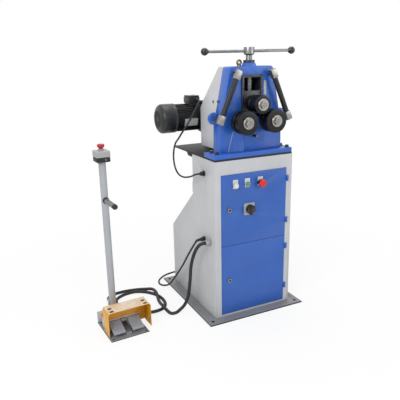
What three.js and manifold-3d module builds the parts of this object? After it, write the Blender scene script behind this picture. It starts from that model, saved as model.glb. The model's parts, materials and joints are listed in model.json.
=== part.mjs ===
// Ring roller: a floor cabinet carries a cast bending head with three cantilevered rolls.
// The upper roll is fed down by a T-handled screw, a worm gear motor turns the two lower rolls,
// and a foot switch station with an emergency stop post stands beside the machine.
// Millimetres, +Z up, front towards -Y, origin on the floor under the middle of the cabinet front.

import * as THREE from 'three';
import { mergeVertices } from 'three/addons/utils/BufferGeometryUtils.js';
import Module from 'manifold-3d';

const wasm = await Module();
wasm.setup();

// Clearances and counts shared by all pieces.
const seatGap = 0.3;
const runGap = 0.5;
const cordPlay = 0.9;
const cordLead = 8;
const cutOver = 5;
const joinLap = 1;
const mergeTolerance = 0.0001;
const fineSides = 24;
const midSides = 16;
const smallSides = 12;
const tinySides = 8;
const hexSides = 6;
const cornerSteps = 4;
const rimShare = 0.29;

// Cabinet: floor plate, folded steel shell and the table plate that the head stands on.
const basePlateThickness = 8;
const basePlateFront = 50;
const basePlateRear = 44;
const anchorHoleRadius = 8;
const anchorSideInset = 27;
const anchorFrontInset = 29;
const anchorRearInset = 27;
const cabinetWidth = 437;
const basePlateMargin = 55.5;
const basePlateWidth = cabinetWidth + 2 * basePlateMargin;
const cabinetHeight = 804;
const cabinetDepthLow = 528;
const cabinetDepthHigh = 243;
const slantDrop = 204;
const slantRise = 251;
const slantHigh = cabinetHeight - slantDrop;
const slantLow = slantHigh - slantRise;
const shellSheet = 2.5;
const frontFrameDepth = 24;
const doorRecessDepth = 18;
const doorInset = 34;
const doorTopFrame = 68;
const doorTop = cabinetHeight - doorTopFrame;
const doorSplit = 379;
const doorBottom = 11;
const doorGap = 2;
const doorRebate = 12;
const doorPlay = 1;
const rearRailDepth = 9;
const rearRailRise = 5;
const rearRailHeight = 54;
const rearRailLow = slantHigh + rearRailRise;
const rearRailHigh = rearRailLow + rearRailHeight;
const rearRailInset = 30;
const tablePlateThickness = 8;
const tablePlateInset = 2.5;
const tablePlateWidth = cabinetWidth - 2 * tablePlateInset;
const tablePlateDepth = 480;
const stayWidth = 6;
const stayDepth = 110;
const stayDrop = 23;
const stayInset = 14;
const stayNose = 27;

// Doors, hinges, locks.
const doorSheet = 2;
const doorReturn = 15;
const doorProud = 2;
const hingeRadius = 5;
const hingePinRadius = 2.4;
const hingePinPlay = 0.4;
const hingeOffset = 6.5;
const hingeSide = 5;
const hingeHalf = 14;
const hingeLeaf = 3;
const hingeLeafReach = 9;
const hingeTopInset = 54;
const hingeMiddleInset = 84;
const hingeLowerInset = 58;
const hingeBottomInset = 85;
const lockInset = 43;
const lockRise = 182;
const lockCapRadius = 11;
const lockCapHeight = 5;
const lockShankRadius = 8;
const lockShankPlay = 0.5;
const lockKeyWidth = 3;
const lockKeyLength = 12;
const lockKeyDepth = 2;
const camLength = 44;
const camWidth = 14;
const camThickness = 3;
const camGap = 1.5;

// Control gear on the upper door.
const controlDrop = 56;
const controlRise = doorTop - controlDrop;
const pilotX = -108;
const startX = -42;
const stopX = 31;
const bezelRadius = 14.5;
const bezelHeight = 6;
const bezelLip = 3;
const gearShankRadius = 10.8;
const gearShankPlay = 0.5;
const gearShankLength = 26;
const lensRadius = 11.5;
const lensHeight = 7;
const plungerRadius = 9.5;
const plungerGap = 0.5;
const plungerProud = 4;
const plungerInside = 12;
const contactWidth = 30;
const contactHeight = 42;
const contactLength = 34;
const mushroomRadius = 20;
const mushroomHeight = 9;
const mushroomStem = 12;
const mushroomStemRadius = 7;
const mushroomTravel = 5;
const mushroomRound = 4;
const stopBezelRadius = 15.5;
const stopBezelHeight = 8;
const switchX = -32;
const switchDrop = 125;
const switchRise = controlRise - switchDrop;
const switchPlate = 60;
const switchPlateThickness = 5;
const switchPlateCorner = 8;
const switchStep = 3;
const switchStepRadius = 27;
const knobRadius = 24;
const knobHeight = 17;
const knobBarWidth = 12;
const knobBarHeight = 6;
const knobShaftRadius = 5;
const switchBlockDepth = 40;
const switchBlockSize = 52;

// Electrics inside the upper compartment.
const panelWidth = 330;
const panelThickness = 3;
const panelFootroom = 61;
const panelHeadroom = 46;
const panelRise = doorSplit + panelFootroom;
const panelHeight = doorTop - panelRise - panelHeadroom;
const panelStandoff = 10;
const railHeight = 35;
const railDepth = 7.5;
const railUpperShare = 0.68;
const railLowerShare = 0.26;
const standoffShares = [0.08, 0.92];
const standoffRadius = 5;
const contactorStartShare = 0.7;
const contactorWidth = 45;
const contactorHeight = 75;
const contactorDepth = 70;
const contactorPitch = 60;
const contactorCount = 3;
const fuseWidth = 80;
const fuseHeight = 78;
const fuseDepth = 58;
const terminalStripWidth = 170;
const terminalStripHeight = 44;
const terminalStripDepth = 42;

// Glands on the left wall.
const motorGlandY = 109;
const motorGlandDrop = 64;
const motorGlandZ = cabinetHeight - motorGlandDrop;
const mainsGlandY = 117;
const mainsGlandZ = 400;
const conduitY = 56;
const conduitZ = 402;
const glandHexFlats = 24;
const glandHexHeight = 7;
const glandDomeRadius = 10;
const glandDomeHeight = 16;
const glandRound = 3;
const glandShank = 8;
const glandShankRadius = 8;
const glandHolePlay = 0.4;
const conduitFittingRadius = 14;
const conduitFittingLength = 26;
const conduitCollarRadius = 17;
const conduitCollarLength = 9;

// Solids from three.js shapes.
function toSolid(geometry) {
  const bare = geometry.clone();
  for (const attribute of Object.keys(bare.attributes)) {
    if (attribute !== 'position') {
      bare.deleteAttribute(attribute);
    }
  }
  const merged = mergeVertices(bare, mergeTolerance);
  const points = merged.attributes.position.array;
  const corners = Array.from(merged.index.array);
  const kept = [];
  for (let i = 0; i < corners.length; i += 3) {
    const [a, b, c] = corners.slice(i, i + 3);
    if (a !== b && b !== c && c !== a) {
      kept.push(a, b, c);
    }
  }
  let volume = 0;
  const at = (index) => new THREE.Vector3().fromArray(points, 3 * index);
  for (let i = 0; i < kept.length; i += 3) {
    volume += at(kept[i]).dot(at(kept[i + 1]).cross(at(kept[i + 2])));
  }
  if (volume < 0) {
    kept.reverse();
  }
  return new wasm.Manifold(new wasm.Mesh({
    numProp: 3,
    vertProperties: Float32Array.from(points),
    triVerts: Uint32Array.from(kept),
  }));
}

// Turn a shape made along Z (prisms) or Y (turned shapes) onto the wanted axis.
const unitX = new THREE.Vector3(1, 0, 0);
const unitY = new THREE.Vector3(0, 1, 0);
const unitZ = new THREE.Vector3(0, 0, 1);
const prismTurn = {
  x: new THREE.Matrix4().makeBasis(unitY, unitZ, unitX),
  y: new THREE.Matrix4().makeBasis(unitX, unitZ, unitY.clone().negate()),
  z: new THREE.Matrix4(),
};
const latheTurn = {
  x: new THREE.Matrix4().makeBasis(unitY, unitX, unitZ.clone().negate()),
  y: new THREE.Matrix4(),
  z: new THREE.Matrix4().makeBasis(unitX, unitZ, unitY.clone().negate()),
};

function place(axis, u, v) {
  if (axis === 'x') {
    return new THREE.Vector3(0, u, v);
  }
  if (axis === 'y') {
    return new THREE.Vector3(u, 0, v);
  }
  return new THREE.Vector3(u, v, 0);
}

// A box between two limits on each axis.
function block(x0, x1, y0, y1, z0, z1) {
  const geometry = new THREE.BoxGeometry(x1 - x0, y1 - y0, z1 - z0);
  geometry.translate((x0 + x1) / 2, (y0 + y1) / 2, (z0 + z1) / 2);
  return toSolid(geometry);
}

// A prism of an outline: (y, z) points along x, (x, z) points along y, (x, y) points along z.
function prism(axis, outline, from, to) {
  const shape = new THREE.Shape(outline.map(([u, v]) => new THREE.Vector2(u, v)));
  const geometry = new THREE.ExtrudeGeometry(shape, { depth: to - from, bevelEnabled: false, steps: 1 });
  geometry.applyMatrix4(prismTurn[axis]);
  const start = axis === 'y' ? to : from;
  const along = { x: unitX, y: unitY, z: unitZ }[axis];
  geometry.translate(along.x * start, along.y * start, along.z * start);
  return toSolid(geometry);
}

// A turned shape: profile points are (radius, place along the axis).
function turned(axis, profile, u, v, sides) {
  const points = profile.map(([radius, along]) => new THREE.Vector2(radius, along));
  const geometry = new THREE.LatheGeometry(points, sides);
  geometry.applyMatrix4(latheTurn[axis]);
  const at = place(axis, u, v);
  geometry.translate(at.x, at.y, at.z);
  return toSolid(geometry);
}

function rod(axis, radius, from, to, u, v, sides) {
  return turned(axis, [[0, from], [radius, from], [radius, to], [0, to]], u, v, sides);
}

function sleeve(axis, outer, inner, from, to, u, v, sides) {
  const profile = [[inner, from], [outer, from], [outer, to], [inner, to], [inner, from]];
  return turned(axis, profile, u, v, sides);
}

// The rounded edge at the low end and at the high end of a turned shape.
function lowRim(radius, edge, at) {
  return [
    [radius - edge, at],
    [radius - edge * rimShare, at + edge * rimShare],
    [radius, at + edge],
  ];
}

function highRim(radius, edge, at) {
  return [
    [radius, at - edge],
    [radius - edge * rimShare, at - edge * rimShare],
    [radius - edge, at],
  ];
}

function softRod(axis, radius, edge, from, to, u, v, sides) {
  const profile = [[0, from], ...lowRim(radius, edge, from), ...highRim(radius, edge, to), [0, to]];
  return turned(axis, profile, u, v, sides);
}

function roundedOutline(width, height, corner) {
  const outline = [];
  const centres = [
    [width / 2 - corner, height / 2 - corner, 0],
    [corner - width / 2, height / 2 - corner, 1],
    [corner - width / 2, corner - height / 2, 2],
    [width / 2 - corner, corner - height / 2, 3],
  ];
  for (const [cx, cy, quarter] of centres) {
    for (let i = 0; i <= cornerSteps; i += 1) {
      const angle = (quarter + i / cornerSteps) * Math.PI / 2;
      outline.push([cx + corner * Math.cos(angle), cy + corner * Math.sin(angle)]);
    }
  }
  return outline;
}

function shifted(outline, du, dv) {
  return outline.map(([u, v]) => [u + du, v + dv]);
}

function joined(first, ...others) {
  return others.reduce((sum, next) => sum.add(next), first);
}

function cut(first, ...others) {
  return others.reduce((rest, next) => rest.subtract(next), first);
}

function toGeometry(solid) {
  const mesh = solid.getMesh();
  const geometry = new THREE.BufferGeometry();
  geometry.setAttribute('position', new THREE.BufferAttribute(mesh.vertProperties, 3));
  geometry.setIndex(new THREE.BufferAttribute(mesh.triVerts, 1));
  geometry.computeVertexNormals();
  return geometry;
}

const looks = {
  blue: { color: 0x3f67b3, roughness: 0.42, metalness: 0 },
  lightGrey: { color: 0xc9cbcf, roughness: 0.5, metalness: 0 },
  charcoal: { color: 0x37383b, roughness: 0.6, metalness: 0 },
  black: { color: 0x1d1d1f, roughness: 0.5, metalness: 0 },
  rubber: { color: 0x2b2b2d, roughness: 0.7, metalness: 0 },
  steel: { color: 0xa9abad, roughness: 0.35, metalness: 1 },
  brightSteel: { color: 0xc8cacc, roughness: 0.25, metalness: 1 },
  hardened: { color: 0x242426, roughness: 0.4, metalness: 0.6 },
  yellow: { color: 0xd9a441, roughness: 0.45, metalness: 0 },
  pedalGrey: { color: 0x85878b, roughness: 0.55, metalness: 0.2 },
  red: { color: 0xc4202a, roughness: 0.4, metalness: 0 },
  green: { color: 0x1c8a4a, roughness: 0.4, metalness: 0 },
  white: { color: 0xeceeee, roughness: 0.35, metalness: 0 },
  zinc: { color: 0xb9b8ae, roughness: 0.4, metalness: 0.8 },
};

function piece(group, name, solid, look) {
  const mesh = new THREE.Mesh(toGeometry(solid), new THREE.MeshStandardMaterial(looks[look]));
  mesh.name = name;
  group.add(mesh);
  return mesh;
}

const part = new THREE.Group();

// Cabinet
const cabinet = new THREE.Group();
part.add(cabinet);
const halfCabinet = cabinetWidth / 2;
const floorTop = basePlateThickness;
const shellTop = floorTop + cabinetHeight;
const tableBottom = shellTop + seatGap;
const tableTop = tableBottom + tablePlateThickness;

function makeBasePlate() {
  const half = basePlateWidth / 2;
  const rear = cabinetDepthLow + basePlateRear;
  const holeX = half - anchorSideInset;
  const holes = [];
  for (const side of [-1, 1]) {
    for (const y of [anchorFrontInset - basePlateFront, rear - anchorRearInset]) {
      holes.push(rod('z', anchorHoleRadius, -cutOver, floorTop + cutOver, side * holeX, y, smallSides));
    }
  }
  return cut(block(-half, half, -basePlateFront, rear, 0, floorTop), ...holes);
}

// Side outline of the cabinet, drawn in by one wall thickness where the inside is wanted.
function cabinetSide(inset) {
  const slope = (slantHigh - slantLow) / (cabinetDepthLow - cabinetDepthHigh);
  const slantShift = inset * (Math.hypot(1, slope) - slope);
  const base = floorTop + seatGap;
  return [
    [inset, base + inset],
    [cabinetDepthLow - inset, base + inset],
    [cabinetDepthLow - inset, floorTop + slantLow - slantShift],
    [cabinetDepthHigh - inset, floorTop + slantHigh - slantShift],
    [cabinetDepthHigh - inset, shellTop - inset],
    [inset, shellTop - inset],
  ];
}

const doorHalf = halfCabinet - doorInset;
const hingeX = doorHalf + hingeSide;
const hingeY = -doorProud - hingeOffset + hingeLeaf;
const upperDoorLow = floorTop + doorSplit + doorGap / 2;
const upperDoorHigh = floorTop + doorTop;
const lowerDoorLow = floorTop + doorBottom;
const lowerDoorHigh = floorTop + doorSplit - doorGap / 2;
const hingeHeights = [
  upperDoorHigh - hingeTopInset,
  upperDoorLow + hingeMiddleInset,
  lowerDoorHigh - hingeLowerInset,
  lowerDoorLow + hingeBottomInset,
];

function cabinetHinge(z) {
  const leafFar = hingeX + hingeLeafReach;
  const barrel = rod('z', hingeRadius, z - hingeHalf, z - seatGap, hingeX, hingeY, smallSides);
  const leafFace = block(hingeX, leafFar, -hingeLeaf, shellSheet / 2, z - hingeHalf, z - seatGap);
  const pin = rod('z', hingePinRadius, z - hingeHalf, z + hingeHalf - seatGap, hingeX, hingeY, tinySides);
  return joined(barrel, leafFace, pin);
}

function makeShell() {
  const outer = prism('x', cabinetSide(0), -halfCabinet, halfCabinet);
  const wall = halfCabinet - shellSheet;
  const inner = cut(
    prism('x', cabinetSide(shellSheet), -wall, wall),
    block(-halfCabinet, halfCabinet, -cutOver, frontFrameDepth, 0, shellTop),
  );
  const cuts = [inner];
  for (const [low, high] of [[upperDoorLow, upperDoorHigh], [lowerDoorLow, lowerDoorHigh]]) {
    const wide = doorHalf + doorPlay;
    cuts.push(block(-wide, wide, -cutOver, doorRecessDepth, low - doorPlay, high + doorPlay));
    const clear = doorHalf - doorRebate;
    const deep = frontFrameDepth + cutOver;
    cuts.push(block(-clear, clear, -cutOver, deep, low + doorRebate, high - doorRebate));
  }
  const left = -halfCabinet - cutOver;
  const inside = -halfCabinet + shellSheet + cutOver;
  const glandHole = glandShankRadius + glandHolePlay;
  cuts.push(rod('x', glandHole, left, inside, motorGlandY, motorGlandZ, smallSides));
  cuts.push(rod('x', glandHole, left, inside, mainsGlandY, mainsGlandZ, smallSides));
  cuts.push(rod('x', glandHole, left, inside, conduitY, conduitZ, smallSides));
  const railHalf = halfCabinet - rearRailInset;
  const railFront = cabinetDepthHigh - shellSheet / 2;
  const railBack = cabinetDepthHigh + rearRailDepth;
  const railLow = floorTop + rearRailLow;
  const railHigh = floorTop + rearRailHigh;
  const rail = block(-railHalf, railHalf, railFront, railBack, railLow, railHigh);
  const drilled = cut(joined(outer, rail), ...cuts);
  return joined(drilled, ...hingeHeights.map(cabinetHinge));
}

function makeTablePlate() {
  const half = tablePlateWidth / 2;
  const plate = block(-half, half, 0, tablePlateDepth, tableBottom, tableTop);
  const stayBack = cabinetDepthHigh + stayDepth;
  const stayOutline = [
    [cabinetDepthHigh + stayNose, tableBottom + cutOver],
    [cabinetDepthHigh + stayNose, tableBottom - stayDrop],
    [stayBack - stayDrop, tableBottom - stayDrop],
    [stayBack, tableBottom],
    [stayBack, tableBottom + cutOver],
  ];
  const stays = [-1, 1].map((side) => {
    const outer = side * (half - stayInset);
    const inner = outer - side * stayWidth;
    return prism('x', stayOutline, Math.min(outer, inner), Math.max(outer, inner));
  });
  return joined(plate, ...stays);
}

// A door is a shallow tray with its hinge knuckles on the right edge.
function makeDoor(low, high, holes) {
  const front = -doorProud;
  const back = front + doorReturn;
  const tray = cut(
    block(-doorHalf, doorHalf, front, back, low, high),
    block(
      -doorHalf + doorSheet,
      doorHalf - doorSheet,
      front + doorSheet,
      back + cutOver,
      low + doorSheet,
      high - doorSheet,
    ),
  );
  const pierced = cut(tray, ...holes);
  const knuckles = hingeHeights.filter((z) => z > low && z < high).map((z) => {
    const top = z + hingeHalf;
    const barrel = rod('z', hingeRadius, z, top, hingeX, hingeY, smallSides);
    const leafX = hingeX - hingeLeafReach;
    const leafFace = block(leafX, hingeX, front - hingeLeaf, front + doorSheet / 2, z, top);
    const bore = hingePinRadius + hingePinPlay;
    return cut(
      joined(barrel, leafFace),
      rod('z', bore, z - cutOver, top + cutOver, hingeX, hingeY, tinySides),
    );
  });
  return joined(pierced, ...knuckles);
}

function doorHole(radius, x, z) {
  return rod('y', radius, -doorProud - cutOver, doorSheet + cutOver, x, z, smallSides);
}

const lockX = -doorHalf + lockInset;
const upperLockZ = upperDoorLow + lockRise;
const lowerLockZ = lowerDoorLow + lockRise;
const controlZ = floorTop + controlRise;
const switchZ = floorTop + switchRise;
const gearHole = gearShankRadius + gearShankPlay;
const switchHole = knobShaftRadius + gearShankPlay;

function makeLock(z) {
  const face = -doorProud - seatGap;
  const camFront = frontFrameDepth + camGap;
  const cap = rod('y', lockCapRadius, face - lockCapHeight, face, lockX, z, smallSides);
  const shank = rod('y', lockShankRadius, face - joinLap, camFront + camThickness, lockX, z, smallSides);
  const key = block(
    lockX - lockKeyWidth / 2,
    lockX + lockKeyWidth / 2,
    face - lockCapHeight - cutOver,
    face - lockCapHeight + lockKeyDepth,
    z - lockKeyLength / 2,
    z + lockKeyLength / 2,
  );
  const cam = block(
    lockX - camWidth / 2,
    lockX + camWidth / 2,
    camFront,
    camFront + camThickness,
    z - camLength,
    z,
  );
  return joined(cut(cap, key), shank, cam);
}

const controlFace = -doorProud - seatGap;
const shankBack = controlFace + gearShankLength;

// Bezel outside, threaded shank through the door and the contact block behind it.
function makeGearBody(x, bezel, height, bore) {
  const turnedBody = joined(
    rod('y', bezel, controlFace - height, controlFace, x, controlZ, midSides),
    rod('y', gearShankRadius, controlFace - bezelLip, shankBack, x, controlZ, midSides),
  );
  const box = block(
    x - contactWidth / 2,
    x + contactWidth / 2,
    shankBack - bezelLip,
    shankBack + contactLength,
    controlZ - contactHeight / 2,
    controlZ + contactHeight / 2,
  );
  const whole = joined(turnedBody, box);
  if (bore === 0) {
    return whole;
  }
  const well = rod('y', bore, controlFace - height - cutOver, shankBack - bezelLip, x, controlZ, midSides);
  return cut(whole, well);
}

function makePilotLamp() {
  const lensFront = controlFace - bezelHeight - lensHeight;
  const lens = rod('y', lensRadius, lensFront, controlFace - bezelLip, pilotX, controlZ, midSides);
  return joined(makeGearBody(pilotX, bezelRadius, bezelHeight, 0), lens);
}

function makeStartButton() {
  const front = controlFace - bezelHeight - plungerProud;
  return rod('y', plungerRadius, front, controlFace + plungerInside, startX, controlZ, midSides);
}

function makeStopButton() {
  const stemBack = controlFace + plungerInside;
  const headBack = controlFace - stopBezelHeight - mushroomStem;
  const headFront = headBack - mushroomHeight;
  const head = turned('y', [
    [0, headFront],
    ...lowRim(mushroomRadius, mushroomRound, headFront),
    [mushroomRadius, headBack],
    [0, headBack],
  ], stopX, controlZ, midSides);
  const stem = rod('y', mushroomStemRadius, headBack - joinLap, stemBack, stopX, controlZ, midSides);
  return joined(head, stem);
}

function makeSwitchBody() {
  const front = controlFace - switchPlateThickness;
  const plate = prism(
    'y',
    shifted(roundedOutline(switchPlate, switchPlate, switchPlateCorner), switchX, switchZ),
    front,
    controlFace,
  );
  const step = rod('y', switchStepRadius, front - switchStep, front + joinLap, switchX, switchZ, midSides);
  const blockFront = doorSheet - doorProud + seatGap;
  const half = switchBlockSize / 2;
  const shankFront = controlFace - joinLap;
  const shank = rod('y', gearShankRadius, shankFront, blockFront + joinLap, switchX, switchZ, midSides);
  const housing = block(
    switchX - half,
    switchX + half,
    blockFront,
    blockFront + switchBlockDepth,
    switchZ - half,
    switchZ + half,
  );
  const bore = rod(
    'y',
    switchHole,
    front - switchStep - cutOver,
    shankBack + runGap,
    switchX,
    switchZ,
    smallSides,
  );
  return cut(joined(plate, step, shank, housing), bore);
}

function makeSwitchKnob() {
  const back = controlFace - switchPlateThickness - switchStep - seatGap;
  const disc = rod('y', knobRadius, back - knobHeight, back, switchX, switchZ, midSides);
  const bar = block(
    switchX - knobBarWidth / 2,
    switchX + knobBarWidth / 2,
    back - knobHeight - knobBarHeight,
    back - joinLap,
    switchZ - knobRadius,
    switchZ + knobRadius,
  );
  const shaft = rod('y', knobShaftRadius, back - joinLap, shankBack, switchX, switchZ, smallSides);
  return joined(disc, bar, shaft);
}

// Mounting panel with contactors, a circuit breaker row and a terminal strip.
function makeElectrics() {
  const back = cabinetDepthHigh - shellSheet - seatGap;
  const face = back - panelStandoff - panelThickness;
  const low = floorTop + panelRise;
  const halfPanel = panelWidth / 2;
  const railHalf = halfPanel - panelStandoff;
  const railFace = face - railDepth;
  const upperZ = low + railUpperShare * panelHeight;
  const lowerZ = low + railLowerShare * panelHeight;
  const pieces = [block(-halfPanel, halfPanel, face, face + panelThickness, low, low + panelHeight)];
  for (const x of [-railHalf, railHalf]) {
    for (const share of standoffShares) {
      const z = low + share * panelHeight;
      pieces.push(rod('y', standoffRadius, face + joinLap, back, x, z, tinySides));
    }
  }
  for (const z of [lowerZ, upperZ]) {
    const top = z + railHeight / 2;
    pieces.push(block(-railHalf, railHalf, railFace, face + joinLap, top - railHeight, top));
  }
  const device = (x, z, width, height, depth) => block(
    x - width / 2,
    x + width / 2,
    railFace - depth,
    railFace + joinLap,
    z - height / 2,
    z + height / 2,
  );
  for (let i = 0; i < contactorCount; i += 1) {
    const x = -halfPanel + contactorPitch * (i + contactorStartShare);
    pieces.push(device(x, upperZ, contactorWidth, contactorHeight, contactorDepth));
  }
  pieces.push(device(halfPanel - fuseWidth, upperZ, fuseWidth, fuseHeight, fuseDepth));
  pieces.push(device(0, lowerZ, terminalStripWidth, terminalStripHeight, terminalStripDepth));
  return joined(...pieces);
}

// A cable gland: hexagon on the wall, domed nut, bore for the cable and a locknut inside.
const glandFace = -halfCabinet - seatGap;
function makeGland(y, z, cableRadius) {
  const hexOuter = glandHexFlats / Math.sqrt(3);
  const hex = rod('x', hexOuter, glandFace - glandHexHeight, glandFace, y, z, hexSides);
  const domeEnd = glandFace - glandHexHeight - glandDomeHeight;
  const dome = turned('x', [
    [0, domeEnd],
    [glandDomeRadius - glandRound, domeEnd],
    [glandDomeRadius, domeEnd + glandRound],
    [glandDomeRadius, glandFace - joinLap],
    [0, glandFace - joinLap],
  ], y, z, smallSides);
  const shankEnd = -halfCabinet + shellSheet + glandShank;
  const shank = rod('x', glandShankRadius, glandFace - joinLap, shankEnd, y, z, smallSides);
  const lockFace = -halfCabinet + shellSheet + seatGap;
  const locknut = rod('x', hexOuter, lockFace, lockFace + glandShank / 2, y, z, hexSides);
  const bore = rod('x', cableRadius + cordPlay, domeEnd - cutOver, shankEnd + cutOver, y, z, tinySides);
  return cut(joined(hex, dome, shank, locknut), bore);
}

function makeConduitFitting(cableRadius) {
  const collarEnd = glandFace - conduitCollarLength;
  const end = glandFace - conduitFittingLength;
  const shankEnd = -halfCabinet + shellSheet + glandShank;
  const lockFace = -halfCabinet + shellSheet + seatGap;
  const body = joined(
    rod('x', conduitCollarRadius, collarEnd, glandFace, conduitY, conduitZ, hexSides),
    rod('x', conduitFittingRadius, end, glandFace - joinLap, conduitY, conduitZ, midSides),
    rod('x', glandShankRadius, glandFace - joinLap, shankEnd, conduitY, conduitZ, smallSides),
    rod('x', conduitFittingRadius, lockFace, lockFace + glandShank / 2, conduitY, conduitZ, hexSides),
  );
  const mouth = collarEnd - joinLap;
  const bore = rod('x', cableRadius + cordPlay, end - cutOver, mouth, conduitY, conduitZ, smallSides);
  return cut(body, bore);
}

// Bending head, in its own frame: x from the middle of the rolls, z from the table plate.
const headOffset = 8;
const flangeFront = 3;
const flangeBack = 112;
const flangeThickness = 22;
const castFront = 46;
const castBack = 118;
const castHalfLow = 170;
const castHalfKnee = 168;
const castKnee = 140;
const castHalfTop = 114;
const castHeight = 416;
const castCorner = 16;
const slotHalf = 44.5;
const slotLow = 181;
const slotHigh = 365;
const bossLowRadius = 36;
const bossHighRadius = 30;
const bossHeight = 15;
const bearingBossRadius = 31;
const bearingBossProud = 15;
const shaftRadius = 15;
const lugSpread = 186;
const lugHeight = 183;
const lugRadius = 29;
const lugFront = 72;
const lugDepth = 16;
const frameHalf = 56.5;
const frameTop = 377;
const frameLow = 190;
const frameThickness = 6;
const rollHalfSpacing = 77;
const lowerRollHeight = 166.5;
const upperRollHeight = 246;
const rollFront = -53;
const lowerRollLength = 67;
const upperRollLength = 80;
const lowerRollRadius = 55;
const lowerGrooveRadius = 46;
const lowerRingFront = 25;
const lowerRingRear = 22;
const upperRollRadius = 42;
const upperGrooveRadius = 39;
const upperGrooveWidth = 10;
const upperRingRear = 22;
const rollEdge = 2;
const threadRadius = 10;
const threadProud = 19;
const washerRadius = 28;
const washerThickness = 6;
const nutFlats = 32;
const nutHeight = 10;
const shoulderRadius = 22;
const shoulderLength = 8;
const slideLength = 71;
const slideFrontSet = 41;
const slideBelow = 45;
const slideAbove = 59;
const slideBossRadius = 25;
const slideBossProud = 4;
const spindleY = 74;
const spindleRadius = 16;
const spindleSeat = 20;
const nutCollarRadius = 27;
const nutCollarHeight = 12.5;
const nutShankRadius = 21;
const nutShankLength = 50;
const hubRise = 22.5;
const hubHeight = 35;
const hubRadius = 25.5;
const hubRound = 2;
const collarRound = 1.5;
const barRadius = 7;
const barHalf = 213;
const knobBallRadius = 17.5;
const knobCentre = 217;
const handleTurn = -9;
const eyeX = -35;
const eyeY = 106;
const eyeRing = 10;
const eyeWire = 5;
const eyeFootRadius = 11;
const eyeFootHeight = 4;
const barPlane = 12;
const guideLowX = 192;
const guideLowZ = 162;
const guideHighX = 88;
const guideHighZ = 400;
const guideBlock = 42;
const guideSquare = 27;
const guideSleeveRadius = 13;
const guideStudRadius = 8;
const toothModule = 7;
const wheelTeeth = 18;
const pinionTeeth = 14;
const gearFront = 135;
const gearWidth = 24;
const addendumShare = 1;
const dedendumShare = 1.25;
const toothRootShare = 0.31;
const toothTipShare = 0.11;
const shaftTail = 12;
const pinionShaftRadius = 12.5;
const pinionSupport = 22;
const coverHalf = 152;
const coverLow = 26;
const coverShoulder = 214;
const coverHalfTop = 113;
const coverHeight = 414;
const coverBack = 290;
const coverKnee = 258;
const coverKneeBack = 270;
const coverTopBack = 165;
const coverWall = 3;
const gearboxFront = 318;
const gearboxBack = 432;
const gearboxHalf = 66;
const gearboxLow = 16;
const gearboxHigh = 150;
const gearboxHubRadius = 46;
const gearboxFoot = 18;
const gearboxFootSpan = 58;
const wormY = 375;
const wormZ = 162;
const wormRadius = 42;
const inputNeckRadius = 46;
const motorFlangeX = -105;
const motorFlangeRadius = 82;
const motorFlangeThickness = 10;
const motorRadius = 70;
const motorCore = 62;
const motorFins = 26;
const finShare = 0.42;
const motorEnd = -268;
const fanCoverStraight = -330;
const fanCoverDome = 24;
const fanCoverFlat = 40;
const fanCoverSteps = 4;
const fanCoverRadius = 74;
const fanCoverWall = 4.4;
const terminalLeft = -192;
const terminalRight = -130;
const terminalDepth = 68;
const terminalPad = 71.5;
const terminalHeight = 38;
const terminalLid = 8;
const terminalLidInset = 2;
const terminalPadInset = 4;
const terminalGlandX = -152;
const terminalGlandRise = 18;
const motorCableRadius = 4.5;

const head = new THREE.Group();
head.position.set(headOffset, 0, tableTop);
part.add(head);

const pinionDrop = Math.sqrt((toothModule * (wheelTeeth + pinionTeeth) / 2) ** 2 - rollHalfSpacing ** 2);
const pinionHeight = lowerRollHeight - pinionDrop;
const castTop = castHeight;
const bossTop = castTop + bossHeight;
const nutTop = bossTop + seatGap + nutCollarHeight;
const slideBack = slideFrontSet + slideLength;
const hubLow = nutTop + hubRise;
const barHeight = hubLow + hubHeight / 2;

function castOutline() {
  const lean = Math.atan((castHalfKnee - castHalfTop) / (castHeight - castKnee));
  const quarter = Math.PI / 2 - lean;
  const centreX = castHalfTop - castCorner * Math.tan(quarter / 2);
  const centreZ = castHeight - castCorner;
  const corner = [];
  for (let i = 0; i <= cornerSteps; i += 1) {
    const angle = lean + quarter * i / cornerSteps;
    corner.push([centreX + castCorner * Math.cos(angle), centreZ + castCorner * Math.sin(angle)]);
  }
  const right = [[castHalfLow, flangeThickness / 2], [castHalfKnee, castKnee], ...corner];
  const left = right.map(([x, z]) => [-x, z]).reverse();
  return [...right, ...left];
}

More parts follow.
